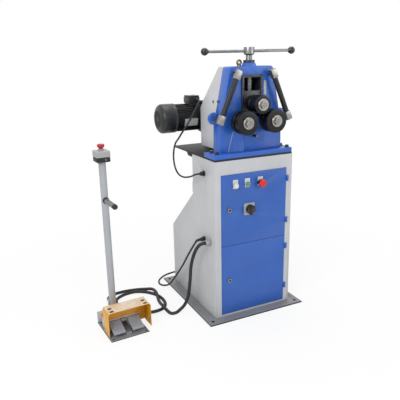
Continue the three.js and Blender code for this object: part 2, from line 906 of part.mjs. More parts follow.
function makeHeadCasting() {
  const flangeHalf = tablePlateWidth / 2;
  const base = seatGap;
  const flange = block(
    -headOffset - flangeHalf,
    -headOffset + flangeHalf,
    flangeFront,
    flangeBack,
    base,
    flangeThickness,
  );
  const body = prism('y', castOutline(), castFront, castBack);
  const bossCone = turned('z', [
    [0, castTop - joinLap],
    [bossLowRadius, castTop - joinLap],
    [bossLowRadius, castTop],
    [bossHighRadius, bossTop],
    [0, bossTop],
  ], 0, spindleY, midSides);
  const bossTrim = block(-castHalfLow, castHalfLow, castFront, castBack, 0, bossTop + cutOver);
  const bosses = [-1, 1].map((side) => rod(
    'y',
    bearingBossRadius,
    castFront - bearingBossProud,
    castFront + joinLap,
    side * rollHalfSpacing,
    lowerRollHeight,
    midSides,
  ));
  const lugs = [-1, 1].map((side) => rod(
    'y',
    lugRadius,
    lugFront,
    lugFront + lugDepth,
    side * lugSpread,
    lugHeight,
    midSides,
  ));
  const slotCut = block(-slotHalf, slotHalf, castFront - cutOver, castBack + cutOver, slotLow, slotHigh);
  const nutBore = rod(
    'z',
    nutShankRadius + seatGap,
    slotHigh - cutOver,
    bossTop + cutOver,
    0,
    spindleY,
    midSides,
  );
  const shaftBores = [-1, 1].map((side) => rod(
    'y',
    shaftRadius + runGap,
    castFront - bearingBossProud - cutOver,
    castBack + cutOver,
    side * rollHalfSpacing,
    lowerRollHeight,
    midSides,
  ));
  const pinionBore = rod(
    'y',
    pinionShaftRadius + runGap,
    castBack - pinionSupport - seatGap,
    castBack + cutOver,
    0,
    pinionHeight,
    midSides,
  );
  const whole = joined(flange, body, bossCone.intersect(bossTrim), ...bosses, ...lugs);
  return cut(whole, slotCut, nutBore, ...shaftBores, pinionBore);
}

function coverSolid(inset) {
  const half = coverHalf - inset;
  const halfTop = coverHalfTop - inset;
  const low = coverLow + inset;
  const high = coverHeight - inset;
  const outline = [
    [half, low],
    [half, coverShoulder],
    [halfTop, high],
    [-halfTop, high],
    [-half, coverShoulder],
    [-half, low],
  ];
  const front = castBack + seatGap - (inset > 0 ? cutOver : 0);
  const side = [
    [front, low],
    [coverBack - inset, low],
    [coverBack - inset, coverShoulder],
    [coverKneeBack - inset, coverKnee],
    [coverTopBack - inset, high],
    [front, high],
  ];
  return prism('y', outline, front, coverBack - inset).intersect(prism('x', side, -half, half));
}

function makeRearCover() {
  const hole = rod(
    'y',
    pinionShaftRadius + runGap,
    coverBack - coverWall - cutOver,
    coverBack + cutOver,
    0,
    pinionHeight,
    midSides,
  );
  return cut(coverSolid(0), coverSolid(coverWall), hole);
}

function makeGuideFrame() {
  const front = castFront - frameThickness;
  const plate = block(-frameHalf, frameHalf, front, castFront - seatGap, frameLow, frameTop);
  const window = block(-slotHalf, slotHalf, front - cutOver, castFront + cutOver, 0, slotHigh);
  const relief = [-1, 1].map((side) => rod(
    'y',
    bearingBossRadius + runGap,
    front - cutOver,
    castFront + cutOver,
    side * rollHalfSpacing,
    lowerRollHeight,
    midSides,
  ));
  return cut(plate, window, ...relief);
}

function makeSlideBlock() {
  const half = slotHalf - runGap;
  const low = upperRollHeight - slideBelow;
  const high = upperRollHeight + slideAbove;
  const bossFront = slideFrontSet - slideBossProud;
  const body = joined(
    block(-half, half, slideFrontSet, slideBack, low, high),
    rod('y', slideBossRadius, bossFront, slideFrontSet + joinLap, 0, upperRollHeight, midSides),
  );
  return cut(
    body,
    rod('y', shaftRadius + runGap, -cutOver, slideBack + cutOver, 0, upperRollHeight, midSides),
    rod('z', spindleRadius + runGap, high - spindleSeat - seatGap, high + cutOver, 0, spindleY, midSides),
  );
}

function makeSpindle() {
  const screwLow = upperRollHeight + slideAbove - spindleSeat;
  const screw = rod('z', spindleRadius, screwLow, hubLow + joinLap, 0, spindleY, midSides);
  const hub = softRod('z', hubRadius, hubRound, hubLow, hubLow + hubHeight, 0, spindleY, midSides);
  const reach = hubRadius + cutOver;
  const cross = rod('x', barRadius + seatGap, -reach, reach, spindleY, barHeight, smallSides);
  return cut(joined(screw, hub), cross);
}

function makeSpindleNut() {
  const low = bossTop + seatGap;
  const shankLow = bossTop - nutShankLength;
  const body = joined(
    softRod('z', nutCollarRadius, collarRound, low, nutTop, 0, spindleY, midSides),
    rod('z', nutShankRadius, shankLow, low + joinLap, 0, spindleY, midSides),
  );
  const bore = rod('z', spindleRadius + runGap, shankLow - cutOver, nutTop + cutOver, 0, spindleY, midSides);
  return cut(body, bore);
}

function makeHandleBar() {
  return rod('x', barRadius, -barHalf, barHalf, spindleY, barHeight, smallSides);
}

function makeKnob(side) {
  const ball = new THREE.SphereGeometry(knobBallRadius, midSides, tinySides);
  ball.translate(side * knobCentre, spindleY, barHeight);
  const boreEnd = side * (barHalf + seatGap);
  const boreStart = side * (knobCentre - knobBallRadius - cutOver);
  const [low, high] = [boreStart, boreEnd].sort((a, b) => a - b);
  const bore = rod('x', barRadius + seatGap, low, high, spindleY, barHeight, smallSides);
  return cut(toSolid(ball), bore);
}

function makeLiftingEye() {
  const low = castTop + seatGap;
  const ring = new THREE.TorusGeometry(eyeRing, eyeWire, hexSides, midSides);
  ring.rotateX(Math.PI / 2);
  ring.translate(eyeX, eyeY, low + eyeFootHeight + eyeRing + eyeWire / 2);
  return joined(
    rod('z', eyeFootRadius, low, low + eyeFootHeight, eyeX, eyeY, smallSides),
    toSolid(ring),
  );
}

function ringRoll(x, z, length, radius, groove, ringFront, ringRear) {
  const rear = rollFront + length;
  const profile = [
    [shaftRadius + seatGap, rollFront],
    [radius - rollEdge, rollFront],
    [radius, rollFront + rollEdge],
    [radius, rollFront + ringFront],
    [groove, rollFront + ringFront],
    [groove, rear - ringRear],
    [radius, rear - ringRear],
    [radius, rear - rollEdge],
    [radius - rollEdge, rear],
    [shaftRadius + seatGap, rear],
    [shaftRadius + seatGap, rollFront],
  ];
  return turned('y', profile, x, z, fineSides);
}

function makeUpperRoll() {
  const ringFront = upperRollLength - upperRingRear - upperGrooveWidth;
  return ringRoll(0, upperRollHeight, upperRollLength, upperRollRadius, upperGrooveRadius, ringFront,
    upperRingRear);
}

function makeLowerRoll(x) {
  return ringRoll(x, lowerRollHeight, lowerRollLength, lowerRollRadius, lowerGrooveRadius, lowerRingFront,
    lowerRingRear);
}

function rollShaft(x, z, rollLength, back) {
  const rear = rollFront + rollLength + seatGap;
  return joined(
    rod('y', shaftRadius, rollFront, back, x, z, midSides),
    rod('y', threadRadius, rollFront - threadProud, rollFront + joinLap, x, z, smallSides),
    rod('y', shoulderRadius, rear, rear + shoulderLength, x, z, midSides),
  );
}

function rollNut(x, z) {
  const back = rollFront - seatGap;
  const washerFront = back - washerThickness;
  const nutFront = washerFront - nutHeight;
  const hexOuter = nutFlats / Math.sqrt(3);
  return cut(
    joined(
      rod('y', washerRadius, washerFront, back, x, z, midSides),
      rod('y', hexOuter, nutFront, washerFront + joinLap, x, z, hexSides),
    ),
    rod('y', threadRadius + seatGap, nutFront - cutOver, back + cutOver, x, z, smallSides),
  );
}

// Straight-flanked gear outline with one tooth centred on the given angle.
function gearOutline(teeth, x, z, angle) {
  const pitchRadius = toothModule * teeth / 2;
  const tip = pitchRadius + toothModule * addendumShare;
  const root = pitchRadius - toothModule * dedendumShare;
  const step = 2 * Math.PI / teeth;
  const outline = [];
  for (let i = 0; i < teeth; i += 1) {
    const centre = angle + i * step;
    for (const [radius, share] of [
      [root, -toothRootShare],
      [tip, -toothTipShare],
      [tip, toothTipShare],
      [root, toothRootShare],
    ]) {
      const at = centre + share * step;
      outline.push([x + radius * Math.cos(at), z + radius * Math.sin(at)]);
    }
  }
  return outline;
}

const pinionStart = Math.PI / 2;
const gearBack = gearFront + gearWidth;

// Phase of a lower wheel so that its gap meets the pinion tooth next to the line of centres.
function wheelPhase(side) {
  const toWheel = Math.atan2(pinionDrop, side * rollHalfSpacing);
  const pinionStep = 2 * Math.PI / pinionTeeth;
  const wheelStep = 2 * Math.PI / wheelTeeth;
  const turns = (toWheel - pinionStart) / pinionStep;
  const rest = turns - Math.floor(turns);
  return toWheel + Math.PI + (rest + 1 / 2) * wheelStep;
}

function makeWheel(side) {
  const x = side * rollHalfSpacing;
  const outline = gearOutline(wheelTeeth, x, lowerRollHeight, wheelPhase(side));
  return cut(
    prism('y', outline, gearFront, gearBack),
    rod('y', shaftRadius + seatGap, gearFront - cutOver, gearBack + cutOver, x, lowerRollHeight, midSides),
  );
}

function makeDrivePinion() {
  const outline = gearOutline(pinionTeeth, 0, pinionHeight, pinionStart);
  const shaftFront = castBack - pinionSupport;
  return joined(
    prism('y', outline, gearFront, gearBack),
    rod('y', pinionShaftRadius, shaftFront, gearboxFront + pinionSupport, 0, pinionHeight, midSides),
  );
}

// Square end blocks joined by a round ribbed sleeve, held off the casting on two studs.
const guideLength = Math.hypot(guideLowX - guideHighX, guideHighZ - guideLowZ);
const guideLean = Math.atan2(guideLowX - guideHighX, guideHighZ - guideLowZ);

function makeGuideBar() {
  const half = guideSquare / 2;
  const upper = guideLength - guideBlock;
  const studEnd = castFront - seatGap - barPlane;
  const lugStudEnd = lugFront - seatGap - barPlane;
  return joined(
    block(-half, half, -half, half, 0, guideBlock),
    block(-half, half, -half, half, upper, guideLength),
    rod('z', guideSleeveRadius, guideBlock - joinLap, upper + joinLap, 0, 0, midSides),
    rod('y', guideStudRadius, 0, lugStudEnd, 0, guideBlock / 2, smallSides),
    rod('y', guideStudRadius, 0, studEnd, 0, guideLength - guideBlock / 2, smallSides),
  );
}

function makeGearbox() {
  const back = coverBack + seatGap;
  const hub = rod('y', gearboxHubRadius, back, gearboxFront + joinLap, 0, pinionHeight, midSides);
  const housing = block(-gearboxHalf, gearboxHalf, gearboxFront, gearboxBack, gearboxLow, gearboxHigh);
  const worm = rod('x', wormRadius, -gearboxHalf, gearboxHalf, wormY, wormZ, midSides);
  const neck = rod('x', inputNeckRadius, motorFlangeX, joinLap - gearboxHalf, wormY, wormZ, midSides);
  const flangeEnd = motorFlangeX + motorFlangeThickness;
  const flange = rod('x', motorFlangeRadius, motorFlangeX, flangeEnd, wormY, wormZ, fineSides);
  const feet = [gearboxFoot - gearboxFootSpan, gearboxFootSpan].map((x) => block(
    x - gearboxFoot,
    x,
    gearboxFront,
    gearboxBack,
    seatGap,
    gearboxLow + joinLap,
  ));
  const boreEnd = gearboxFront + pinionSupport + runGap;
  const bore = rod('y', pinionShaftRadius + runGap, back - cutOver, boreEnd, 0, pinionHeight, midSides);
  return cut(joined(hub, housing, worm, neck, flange, ...feet), bore);
}

function finOutline() {
  const outline = [];
  const step = 2 * Math.PI / motorFins;
  for (let i = 0; i < motorFins; i += 1) {
    for (const [radius, share] of [
      [motorCore, 0],
      [motorRadius, 0],
      [motorRadius, finShare],
      [motorCore, finShare],
    ]) {
      const at = (i + share) * step;
      outline.push([wormY + radius * Math.cos(at), wormZ + radius * Math.sin(at)]);
    }
  }
  return outline;
}

function makeMotorBody() {
  const flangeBack = motorFlangeX - seatGap;
  const flangeEnd = flangeBack - motorFlangeThickness;
  const flange = rod('x', motorFlangeRadius, flangeEnd, flangeBack, wormY, wormZ, fineSides);
  const fins = prism('x', finOutline(), motorEnd, flangeEnd + joinLap);
  const padHalf = terminalDepth / 2 - terminalPadInset;
  const pad = block(
    terminalLeft + terminalPadInset,
    terminalRight - terminalPadInset,
    wormY - padHalf,
    wormY + padHalf,
    wormZ,
    wormZ + terminalPad,
  );
  return joined(flange, fins, pad);
}

// Quarter ellipse from the straight skirt of the fan cover to its flat end.
function fanCoverArc(inset) {
  const points = [];
  for (let i = 0; i <= fanCoverSteps; i += 1) {
    const angle = i / fanCoverSteps * Math.PI / 2;
    const bulge = fanCoverRadius - fanCoverFlat - inset;
    points.push([
      fanCoverFlat + bulge * Math.cos(angle),
      fanCoverStraight - (fanCoverDome - inset) * Math.sin(angle),
    ]);
  }
  return points;
}

function makeFanCover() {
  const back = motorEnd - seatGap;
  const outer = fanCoverArc(0).reverse();
  const inner = fanCoverArc(fanCoverWall);
  return turned('x', [
    [0, outer[0][1]],
    ...outer,
    [fanCoverRadius, back],
    [fanCoverRadius - fanCoverWall, back],
    ...inner,
    [0, inner[inner.length - 1][1]],
  ], wormY, wormZ, fineSides);
}

const terminalFront = wormY - terminalDepth / 2;
const terminalLow = wormZ + terminalPad + seatGap;
const terminalGlandZ = terminalLow + terminalGlandRise;
const terminalGlandEnd = terminalFront - glandHexHeight - glandDomeHeight;

function makeTerminalBox() {
  const lidLow = terminalLow + terminalHeight - terminalLid;
  const back = terminalFront + terminalDepth;
  const lid = block(
    terminalLeft + terminalLidInset,
    terminalRight - terminalLidInset,
    terminalFront + terminalLidInset,
    back - terminalLidInset,
    lidLow - joinLap,
    lidLow + terminalLid,
  );
  const box = block(terminalLeft, terminalRight, terminalFront, back, terminalLow, lidLow);
  const hexOuter = glandHexFlats / Math.sqrt(3);
  const inside = terminalFront + joinLap;
  const alongGland = (radius, from, to, sides) => rod(
    'y',
    radius,
    from,
    to,
    terminalGlandX,
    terminalGlandZ,
    sides,
  );
  const nut = alongGland(hexOuter, terminalFront - glandHexHeight, inside, hexSides);
  const dome = alongGland(glandDomeRadius, terminalGlandEnd, inside, smallSides);
  const bore = alongGland(motorCableRadius + cordPlay, terminalGlandEnd - cutOver, terminalFront, tinySides);
  return cut(joined(box, lid, nut, dome), bore);
}

// Foot switch station: x from the middle of its floor plate, y from the plate's front edge.
const stationX = -654;
const stationY = 48;
const stationTurn = 3.2;
const plateHalf = 96;
const plateDepth = 212;
const plateThickness = 4;
const plateHoleRadius = 4;
const plateHoleInset = 13;
const upstandHeight = 62;
const upstandThickness = 3;
const housingHalf = 86;
const housingFront = 103;
const housingBack = 165;
const housingTop = 60;
const webHalf = 13;
const webFront = 22;
const webHeight = 36;
const webNose = 12;
const hingeLineY = 94;
const hingeLineZ = 50;
const pedalPinRadius = 3;
const pedalPinPlay = 0.4;
const hingeTubeRadius = 6;
const hingeLugThickness = 6;
const hingeLugHalf = 7;
const pedalInner = 18.5;
const pedalOuter = 76.5;
const pedalFront = 15;
const pedalFrontTop = 30;
const pedalThickness = 8;
const pedalNose = 2;
const pedalSideGap = 1;
const guardMiddle = 14;
const guardHalfTop = 109;
const guardHalfLow = 109;
const guardSheet = 2.5;
const guardFront = 32;
const guardBack = 112;
const guardTop = 133;
const guardLow = 8;
const guardCorner = 12;
const guardPanelHalf = 105;
const guardSlotLength = 19;
const guardSlotWidth = 15;
const guardSlotX = 85;
const guardSlotYs = [47, 79];
const poleX = -18;
const poleY = 189;
const poleRadius = 17;
const poleWall = 2;
const poleFootRadius = 18.8;
const poleFootHeight = 12;
const poleTop = 826;
const clipWidth = 9;
const clipHeight = 36;
const clipRise = 92;
const gripRise = 642;
const gripRadius = 12.5;
const gripRound = 4;
const gripLength = 130;
const gripFlangeRadius = 16;
const gripFlangeLength = 6;
const estopWidth = 66;
const estopBaseHeight = 22;
const estopLidHeight = 30;
const estopCorner = 5;
const estopStep = 1;
const estopCollarRadius = 15;
const estopCollarHeight = 7;
const estopStemRadius = 9;
const estopStemDepth = 18;
const estopHeadRadius = 17;
const estopHeadRound = 4;
const estopHeadFlare = 5;
const estopHeadGap = 6;
const estopHeadHeight = 17;
const stationGlandRadius = 12;
const stationGlandLength = 18;
const sideGlandY = 140;
const sideGlandZ = 30;
const poleGlandLow = 78;
const poleGlandHigh = 118;
const poleGlandTurn = -30;
const controlCableRadius = 8.5;
const mainsRadius = 5;

const station = new THREE.Group();
station.position.set(stationX, stationY, 0);
station.rotation.z = THREE.MathUtils.degToRad(stationTurn);
part.add(station);

function makePedalBase() {
  const floor = block(-plateHalf, plateHalf, 0, plateDepth, 0, plateThickness);
  const upstand = block(-plateHalf, plateHalf, plateDepth - upstandThickness, plateDepth, 0, upstandHeight);
  const housing = block(-housingHalf, housingHalf, housingFront, housingBack, 0, housingTop);
  const webInside = housingFront + joinLap;
  const web = prism('x', [
    [webFront, plateThickness - joinLap],
    [webFront, plateThickness + webNose],
    [hingeLineY, plateThickness + webHeight],
    [webInside, plateThickness + webHeight],
    [webInside, plateThickness - joinLap],
  ], -webHalf, webHalf);
  const lugOutline = [
    [hingeLineY - hingeLugHalf, hingeLineZ],
    [hingeLineY - hingeLugHalf / 2, hingeLineZ + hingeLugHalf],
    [webInside, hingeLineZ + hingeLugHalf],
    [webInside, hingeLineZ - hingeLugHalf],
    [hingeLineY - hingeLugHalf, hingeLineZ - hingeLugHalf],
  ];
  const lugInner = pedalOuter + pedalSideGap;
  const lugOuter = lugInner + hingeLugThickness;
  const pin = rod('x', pedalPinRadius, -lugInner, lugInner, hingeLineY, hingeLineZ, tinySides);
  const lugs = [
    prism('x', lugOutline, -webHalf, webHalf),
    prism('x', lugOutline, lugInner, lugOuter),
    prism('x', lugOutline, -lugOuter, -lugInner),
  ];
  const glandRoot = housingHalf - joinLap;
  const glandEnd = housingHalf + stationGlandLength;
  const gland = rod('x', stationGlandRadius, glandRoot, glandEnd, sideGlandY, sideGlandZ, smallSides);
  const hole = controlCableRadius + cordPlay;
  const holes = [rod('x', hole, housingHalf, glandEnd + cutOver, sideGlandY, sideGlandZ, smallSides)];
  for (const x of [plateHoleInset - plateHalf, plateHalf - plateHoleInset]) {
    for (const y of [plateHoleInset, plateDepth - plateHoleInset - upstandThickness]) {
      holes.push(rod('z', plateHoleRadius, -cutOver, plateThickness + cutOver, x, y, tinySides));
    }
  }
  return cut(joined(floor, upstand, housing, web, ...lugs, pin, gland), ...holes);
}

function makePedal(side) {
  const inner = side < 0 ? -pedalOuter : pedalInner;
  const outer = side < 0 ? -pedalInner : pedalOuter;
  const pad = prism('x', [
    [pedalFront, pedalFrontTop],
    [pedalFront + pedalNose, pedalFrontTop - pedalThickness],
    [hingeLineY, hingeLineZ - hingeTubeRadius],
    [hingeLineY, hingeLineZ + hingeTubeRadius],
  ], inner, outer);
  const tube = rod('x', hingeTubeRadius, inner, outer, hingeLineY, hingeLineZ, smallSides);
  const hole = pedalPinRadius + pedalPinPlay;
  const bore = rod('x', hole, inner - cutOver, outer + cutOver, hingeLineY, hingeLineZ, tinySides);
  return cut(joined(pad, tube), bore);
}

function guardSection(inset) {
  const half = [
    [guardHalfLow - inset, guardLow - (inset > 0 ? cutOver : 0)],
    [guardHalfTop - inset, guardTop - guardCorner],
    [guardHalfTop - guardCorner * rimShare - inset, guardTop - guardCorner * rimShare - inset],
    [guardHalfTop - guardCorner, guardTop - inset],
  ];
  const right = half.map(([x, z]) => [guardMiddle + x, z]);
  const left = half.map(([x, z]) => [guardMiddle - x, z]).reverse();
  return [...right, ...left];
}

function makePedalGuard() {
  const hood = cut(
    prism('y', guardSection(0), guardFront, guardBack),
    prism('y', guardSection(guardSheet), guardFront - cutOver, guardBack + cutOver),
  );
  const foot = housingTop + seatGap;
  const panel = prism('x', [
    [guardBack - guardSheet, guardTop],
    [guardBack - guardSheet, guardTop - 2 * guardSheet],
    [housingBack - 3 * guardSheet, foot + guardSheet],
    [housingFront, foot + guardSheet],
    [housingFront, foot],
    [housingBack, foot],
    [housingBack, foot + guardSheet],
    [guardBack + guardSheet, guardTop],
  ], guardMiddle - guardPanelHalf, guardMiddle + guardPanelHalf);
  const slots = [];
  for (const side of [-1, 1]) {
    const x = guardMiddle + side * guardSlotX;
    for (const y of guardSlotYs) {
      slots.push(block(
        x - guardSlotLength / 2,
        x + guardSlotLength / 2,
        y - guardSlotWidth / 2,
        y + guardSlotWidth / 2,
        guardTop - guardCorner,
        guardTop + cutOver,
      ));
    }
  }
  return cut(joined(hood, panel), ...slots);
}

function makePole() {
  const low = plateThickness + seatGap;
  const footTop = low + poleFootHeight;
  const bore = poleRadius - poleWall;
  const glandRoot = poleY + bore;
  const glandEnd = poleY + poleRadius + stationGlandLength;
  const aboutPole = (solid) => solid
    .translate([-poleX, -poleY, 0])
    .rotate([0, 0, poleGlandTurn])
    .translate([poleX, poleY, 0]);
  const parts = [
    sleeve('z', poleRadius, bore, low, poleTop, poleX, poleY, midSides),
    sleeve('z', poleFootRadius, bore, low, footTop, poleX, poleY, midSides),
    block(
      poleX - poleRadius - clipWidth,
      poleX - bore - joinLap,
      poleY - clipWidth,
      poleY + clipWidth,
      clipRise,
      clipRise + clipHeight,
    ),
  ];
  const holes = [];
  for (const z of [poleGlandLow, poleGlandHigh]) {
    const hole = controlCableRadius + cordPlay;
    parts.push(aboutPole(rod('y', stationGlandRadius, glandRoot, glandEnd, poleX, z, smallSides)));
    const glandBore = rod('y', hole, poleY + poleRadius, glandEnd + cutOver, poleX, z, smallSides);
    holes.push(aboutPole(glandBore));
  }
  return cut(joined(...parts), ...holes);
}

function makeGrip() {
  const root = poleY - poleRadius;
  const end = root - gripLength;
  const body = joined(
    turned('y', [
      [0, end],
      ...lowRim(gripRadius, gripRound, end),
      [gripRadius, poleY],
      [0, poleY],
    ], poleX, gripRise, midSides),
    rod('y', gripFlangeRadius, root - gripFlangeLength, poleY, poleX, gripRise, midSides),
  );
  const reach = gripFlangeRadius + cutOver;
  const saddle = rod(
    'z',
    poleRadius + seatGap,
    gripRise - reach,
    gripRise + reach,
    poleX,
    poleY,
    midSides,
  );
  return cut(body, saddle);
}

const estopLow = poleTop + seatGap;
const estopLidTop = estopLow + estopBaseHeight + estopLidHeight;
const estopCollarTop = estopLidTop + estopCollarHeight;

function makeEstopBox() {
  const square = (width, corner) => shifted(roundedOutline(width, width, corner), poleX, poleY);
  const lidLow = estopLow + estopBaseHeight;
  const narrow = square(estopWidth - 2 * estopStep, estopCorner - estopStep);
  const wellLow = estopCollarTop - estopStemDepth - mushroomTravel - runGap;
  return cut(
    joined(
      prism('z', narrow, estopLow, lidLow + joinLap),
      prism('z', square(estopWidth, estopCorner), lidLow, estopLidTop),
      rod('z', estopCollarRadius, estopLidTop - joinLap, estopCollarTop, poleX, poleY, midSides),
    ),
    rod('z', estopStemRadius + runGap, wellLow, estopCollarTop + cutOver, poleX, poleY, midSides),
  );
}

function makeEstopButton() {
  const headLow = estopCollarTop + estopHeadGap;
  const headHigh = headLow + estopHeadHeight;
  const stemLow = estopCollarTop - estopStemDepth;
  return joined(
    rod('z', estopStemRadius, stemLow, headLow + joinLap, poleX, poleY, midSides),
    turned('z', [
      [0, headLow],
      [estopHeadRadius - estopHeadFlare, headLow],
      ...highRim(estopHeadRadius, estopHeadRound, headHigh),
      [0, headHigh],
    ], poleX, poleY, midSides),
  );
}

// Cords
const tubeSides = 8;
const coilTurns = 5.7;
const climbTurns = 0.5;
const coilSides = 6;
const coilSteps = 24;
const coilX = 10;
const coilY = 700;
const coilInner = 46;
const coilPitch = 10.7;
const coilFacing = 250;
const plugRadius = 15.2;
const plugLength = 46;
const plugNeckRadius = 8;
const plugNeckLength = 20;
const plugNeckFlare = 2;
const plugRound = 5;
const plugPinRadius = 2.4;
const plugPinLength = 19;
const plugPinSpread = 9.5;

function cordTube(points, radius, sides, steps) {
  const curve = new THREE.CatmullRomCurve3(points.map(([x, y, z]) => new THREE.Vector3(x, y, z)));
  const section = new THREE.Shape();
  for (let i = 0; i < sides; i += 1) {
    const angle = (2 * i + 1) * Math.PI / sides;
    const u = radius * Math.cos(angle);
    const v = radius * Math.sin(angle);
    if (i === 0) {
      section.moveTo(u, v);
    } else {
      section.lineTo(u, v);
    }
  }
  section.closePath();
  return toSolid(new THREE.ExtrudeGeometry(section, { steps, extrudePath: curve, bevelEnabled: false }));
}

function fromStation(x, y, z) {
  const turn = THREE.MathUtils.degToRad(stationTurn);
  return [
    stationX + x * Math.cos(turn) - y * Math.sin(turn),
    stationY + x * Math.sin(turn) + y * Math.cos(turn),
    z,
  ];
}

const cordStraight = 20;
const cordSag = 2;
// The last stretch inside and before each gland is straight.
const conduitMouth = glandFace - conduitCollarLength - joinLap - seatGap;
const sideMouthX = housingHalf + seatGap;
const sideEndX = housingHalf + stationGlandLength;
const poleMouth = poleRadius + seatGap;
const poleEnd = poleRadius + stationGlandLength;

// A point outside the pole in line with its turned glands.
function fromPole(away, z) {
  const turn = THREE.MathUtils.degToRad(poleGlandTurn);
  return fromStation(poleX - away * Math.sin(turn), poleY + away * Math.cos(turn), z);
}

const controlCableRoute = [
  [conduitMouth, conduitY, conduitZ],
  [glandFace - conduitFittingLength, conduitY, conduitZ],
  [glandFace - conduitFittingLength - cordStraight / 2, conduitY, conduitZ],
  [-268, 66, 395],
  [-275, 112, 345],
  [-285, 143, 260],
  [-295, 142, 172],
  [-306, 148, 84],
  [-322, 164, 30],
  [-345, 166, 11],
  [-375, 149, 9],
  [-402, 152, 10],
  [-417, 182, 21],
  [-421, 222, 27],
  [-419, 262, 22],
  [-412, 308, 20],
  [-402, 352, 27],
  [-397, 395, 28],
  [-402, 436, 24],
  [-424, 474, 12],
  [-468, 497, 9],
  [-542, 509, 9],
  [-600, 503, 9],
  [-640, 478, 9],
  [-652, 432, 20],
  [-650, 382, 58],
  [-650, 330, 99],
  fromPole(poleEnd + cordStraight, poleGlandHigh - cordPlay),
  fromPole(poleEnd + cordLead, poleGlandHigh),
  fromPole(poleEnd, poleGlandHigh),
  fromPole(poleMouth, poleGlandHigh),
];

const estopCableRoute = [
  fromStation(sideMouthX, sideGlandY, sideGlandZ),
  fromStation(sideEndX, sideGlandY, sideGlandZ),
  fromStation(sideEndX + cordLead, sideGlandY, sideGlandZ),
  fromStation(sideEndX + cordStraight, sideGlandY, sideGlandZ - cordSag),
  [-486, 208, 12],
  [-450, 213, 9],
  [-416, 226, 9],
  [-392, 258, 9],
  [-382, 315, 9],
  [-394, 382, 9],
  [-433, 442, 9],
  [-490, 476, 9],
  [-556, 470, 9],
  [-604, 440, 9],
  [-620, 400, 12],
  [-630, 358, 30],
  [-642, 320, 60],
  fromPole(poleEnd + cordStraight, poleGlandLow - cordPlay),
  fromPole(poleEnd + cordLead, poleGlandLow),
  fromPole(poleEnd, poleGlandLow),
  fromPole(poleMouth, poleGlandLow),
];

const motorCableRoute = [
  [headOffset + terminalGlandX, terminalFront - seatGap, tableTop + terminalGlandZ],
  [headOffset + terminalGlandX, terminalGlandEnd, tableTop + terminalGlandZ],
  [headOffset + terminalGlandX, terminalGlandEnd - cordLead, tableTop + terminalGlandZ],
  [-147, 301, 1066],
  [-170, 284, 1038],
  [-205, 270, 992],
  [-238, 262, 952],
  [-257, 270, 922],
  [-262, 306, 888],
  [-260, 358, 852],
  [-260, 383, 806],
  [-261, 384, 764],
  [-262, 366, 726],
  [-262, 326, 699],
  [-260, 267, 694],
  [-257, 197, 709],
  [-262, 143, 727],
  [-261, 116, 738],
  [glandFace - glandHexHeight - glandDomeHeight - cordLead, motorGlandY, motorGlandZ],
  [glandFace - glandHexHeight - glandDomeHeight, motorGlandY, motorGlandZ],
  [glandFace, motorGlandY, motorGlandZ],
];

// The coil winds in on the floor layer and out again on the layer above.
function coilPoint(turn) {
  const away = turn - coilTurns / 2;
  const radius = coilInner + coilPitch * Math.abs(away);
  const climb = THREE.MathUtils.clamp(away / climbTurns + 1 / 2, 0, 1);
  const angle = THREE.MathUtils.degToRad(coilFacing) + 2 * Math.PI * turn;
  return new THREE.Vector3(
    coilX + radius * Math.cos(angle),
    coilY + radius * Math.sin(angle),
    mainsRadius + seatGap + coilPitch * climb,
  );
}

function coilPoints() {
  const count = Math.round(coilTurns * coilSteps);
  const winding = [];
  for (let i = 0; i <= count; i += 1) {
    winding.push(coilPoint(coilTurns * i / count));
  }
  const lead = winding[0].clone().sub(winding[1]).setZ(0).setLength(2 * mainsRadius);
  const tail = winding[count].clone().sub(winding[count - 1]).setZ(0).setLength(2 * mainsRadius);
  return [winding[0].clone().add(lead), ...winding, winding[count].clone().add(tail)];
}

function ringedTube(points, radius, sides) {
  const rings = points.map((point, i) => {
    const before = points[Math.max(0, i - 1)];
    const after = points[Math.min(points.length - 1, i + 1)];
    const along = after.clone().sub(before).normalize();
    const side = along.clone().cross(unitZ).normalize();
    const up = side.clone().cross(along).normalize();
    const ring = [];
    for (let s = 0; s < sides; s += 1) {
      const angle = 2 * Math.PI * s / sides;
      ring.push(point.clone()
        .addScaledVector(side, radius * Math.cos(angle))
        .addScaledVector(up, radius * Math.sin(angle)));
    }
    return ring;
  });
  const positions = rings.flat().flatMap((point) => point.toArray());
  const ends = [points[0], points[points.length - 1]];
  positions.push(...ends[0].toArray(), ...ends[1].toArray());
  const index = [];
  const last = rings.length - 1;
  for (let r = 0; r < last; r += 1) {
    for (let s = 0; s < sides; s += 1) {
      const a = r * sides + s;
      const b = r * sides + (s + 1) % sides;
      index.push(a, b, b + sides, a, b + sides, a + sides);
    }
  }
  const firstCap = rings.length * sides;
  for (let s = 0; s < sides; s += 1) {
    index.push(firstCap, (s + 1) % sides, s);
    index.push(firstCap + 1, last * sides + s, last * sides + (s + 1) % sides);
  }
  const geometry = new THREE.BufferGeometry();
  geometry.setAttribute('position', new THREE.Float32BufferAttribute(positions, 3));
  geometry.setIndex(index);
  return toSolid(geometry);
}

function leastGap(points, radius, apart) {
  let least = Infinity;
  for (let i = 0; i < points.length; i += 1) {
    for (let j = i + apart; j < points.length; j += 1) {
      least = Math.min(least, points[i].distanceTo(points[j]) - 2 * radius);
    }
  }
  return least;
}

const coilCentres = coilPoints();
const coilFine = [];
for (let i = 0; i <= coilTurns * coilSteps * 4; i += 1) {
  coilFine.push(coilPoint(i / (coilSteps * 4)));
}
console.log(`least gap in the mains coil: ${leastGap(coilFine, mainsRadius, coilSteps * 2).toFixed(2)} mm`);

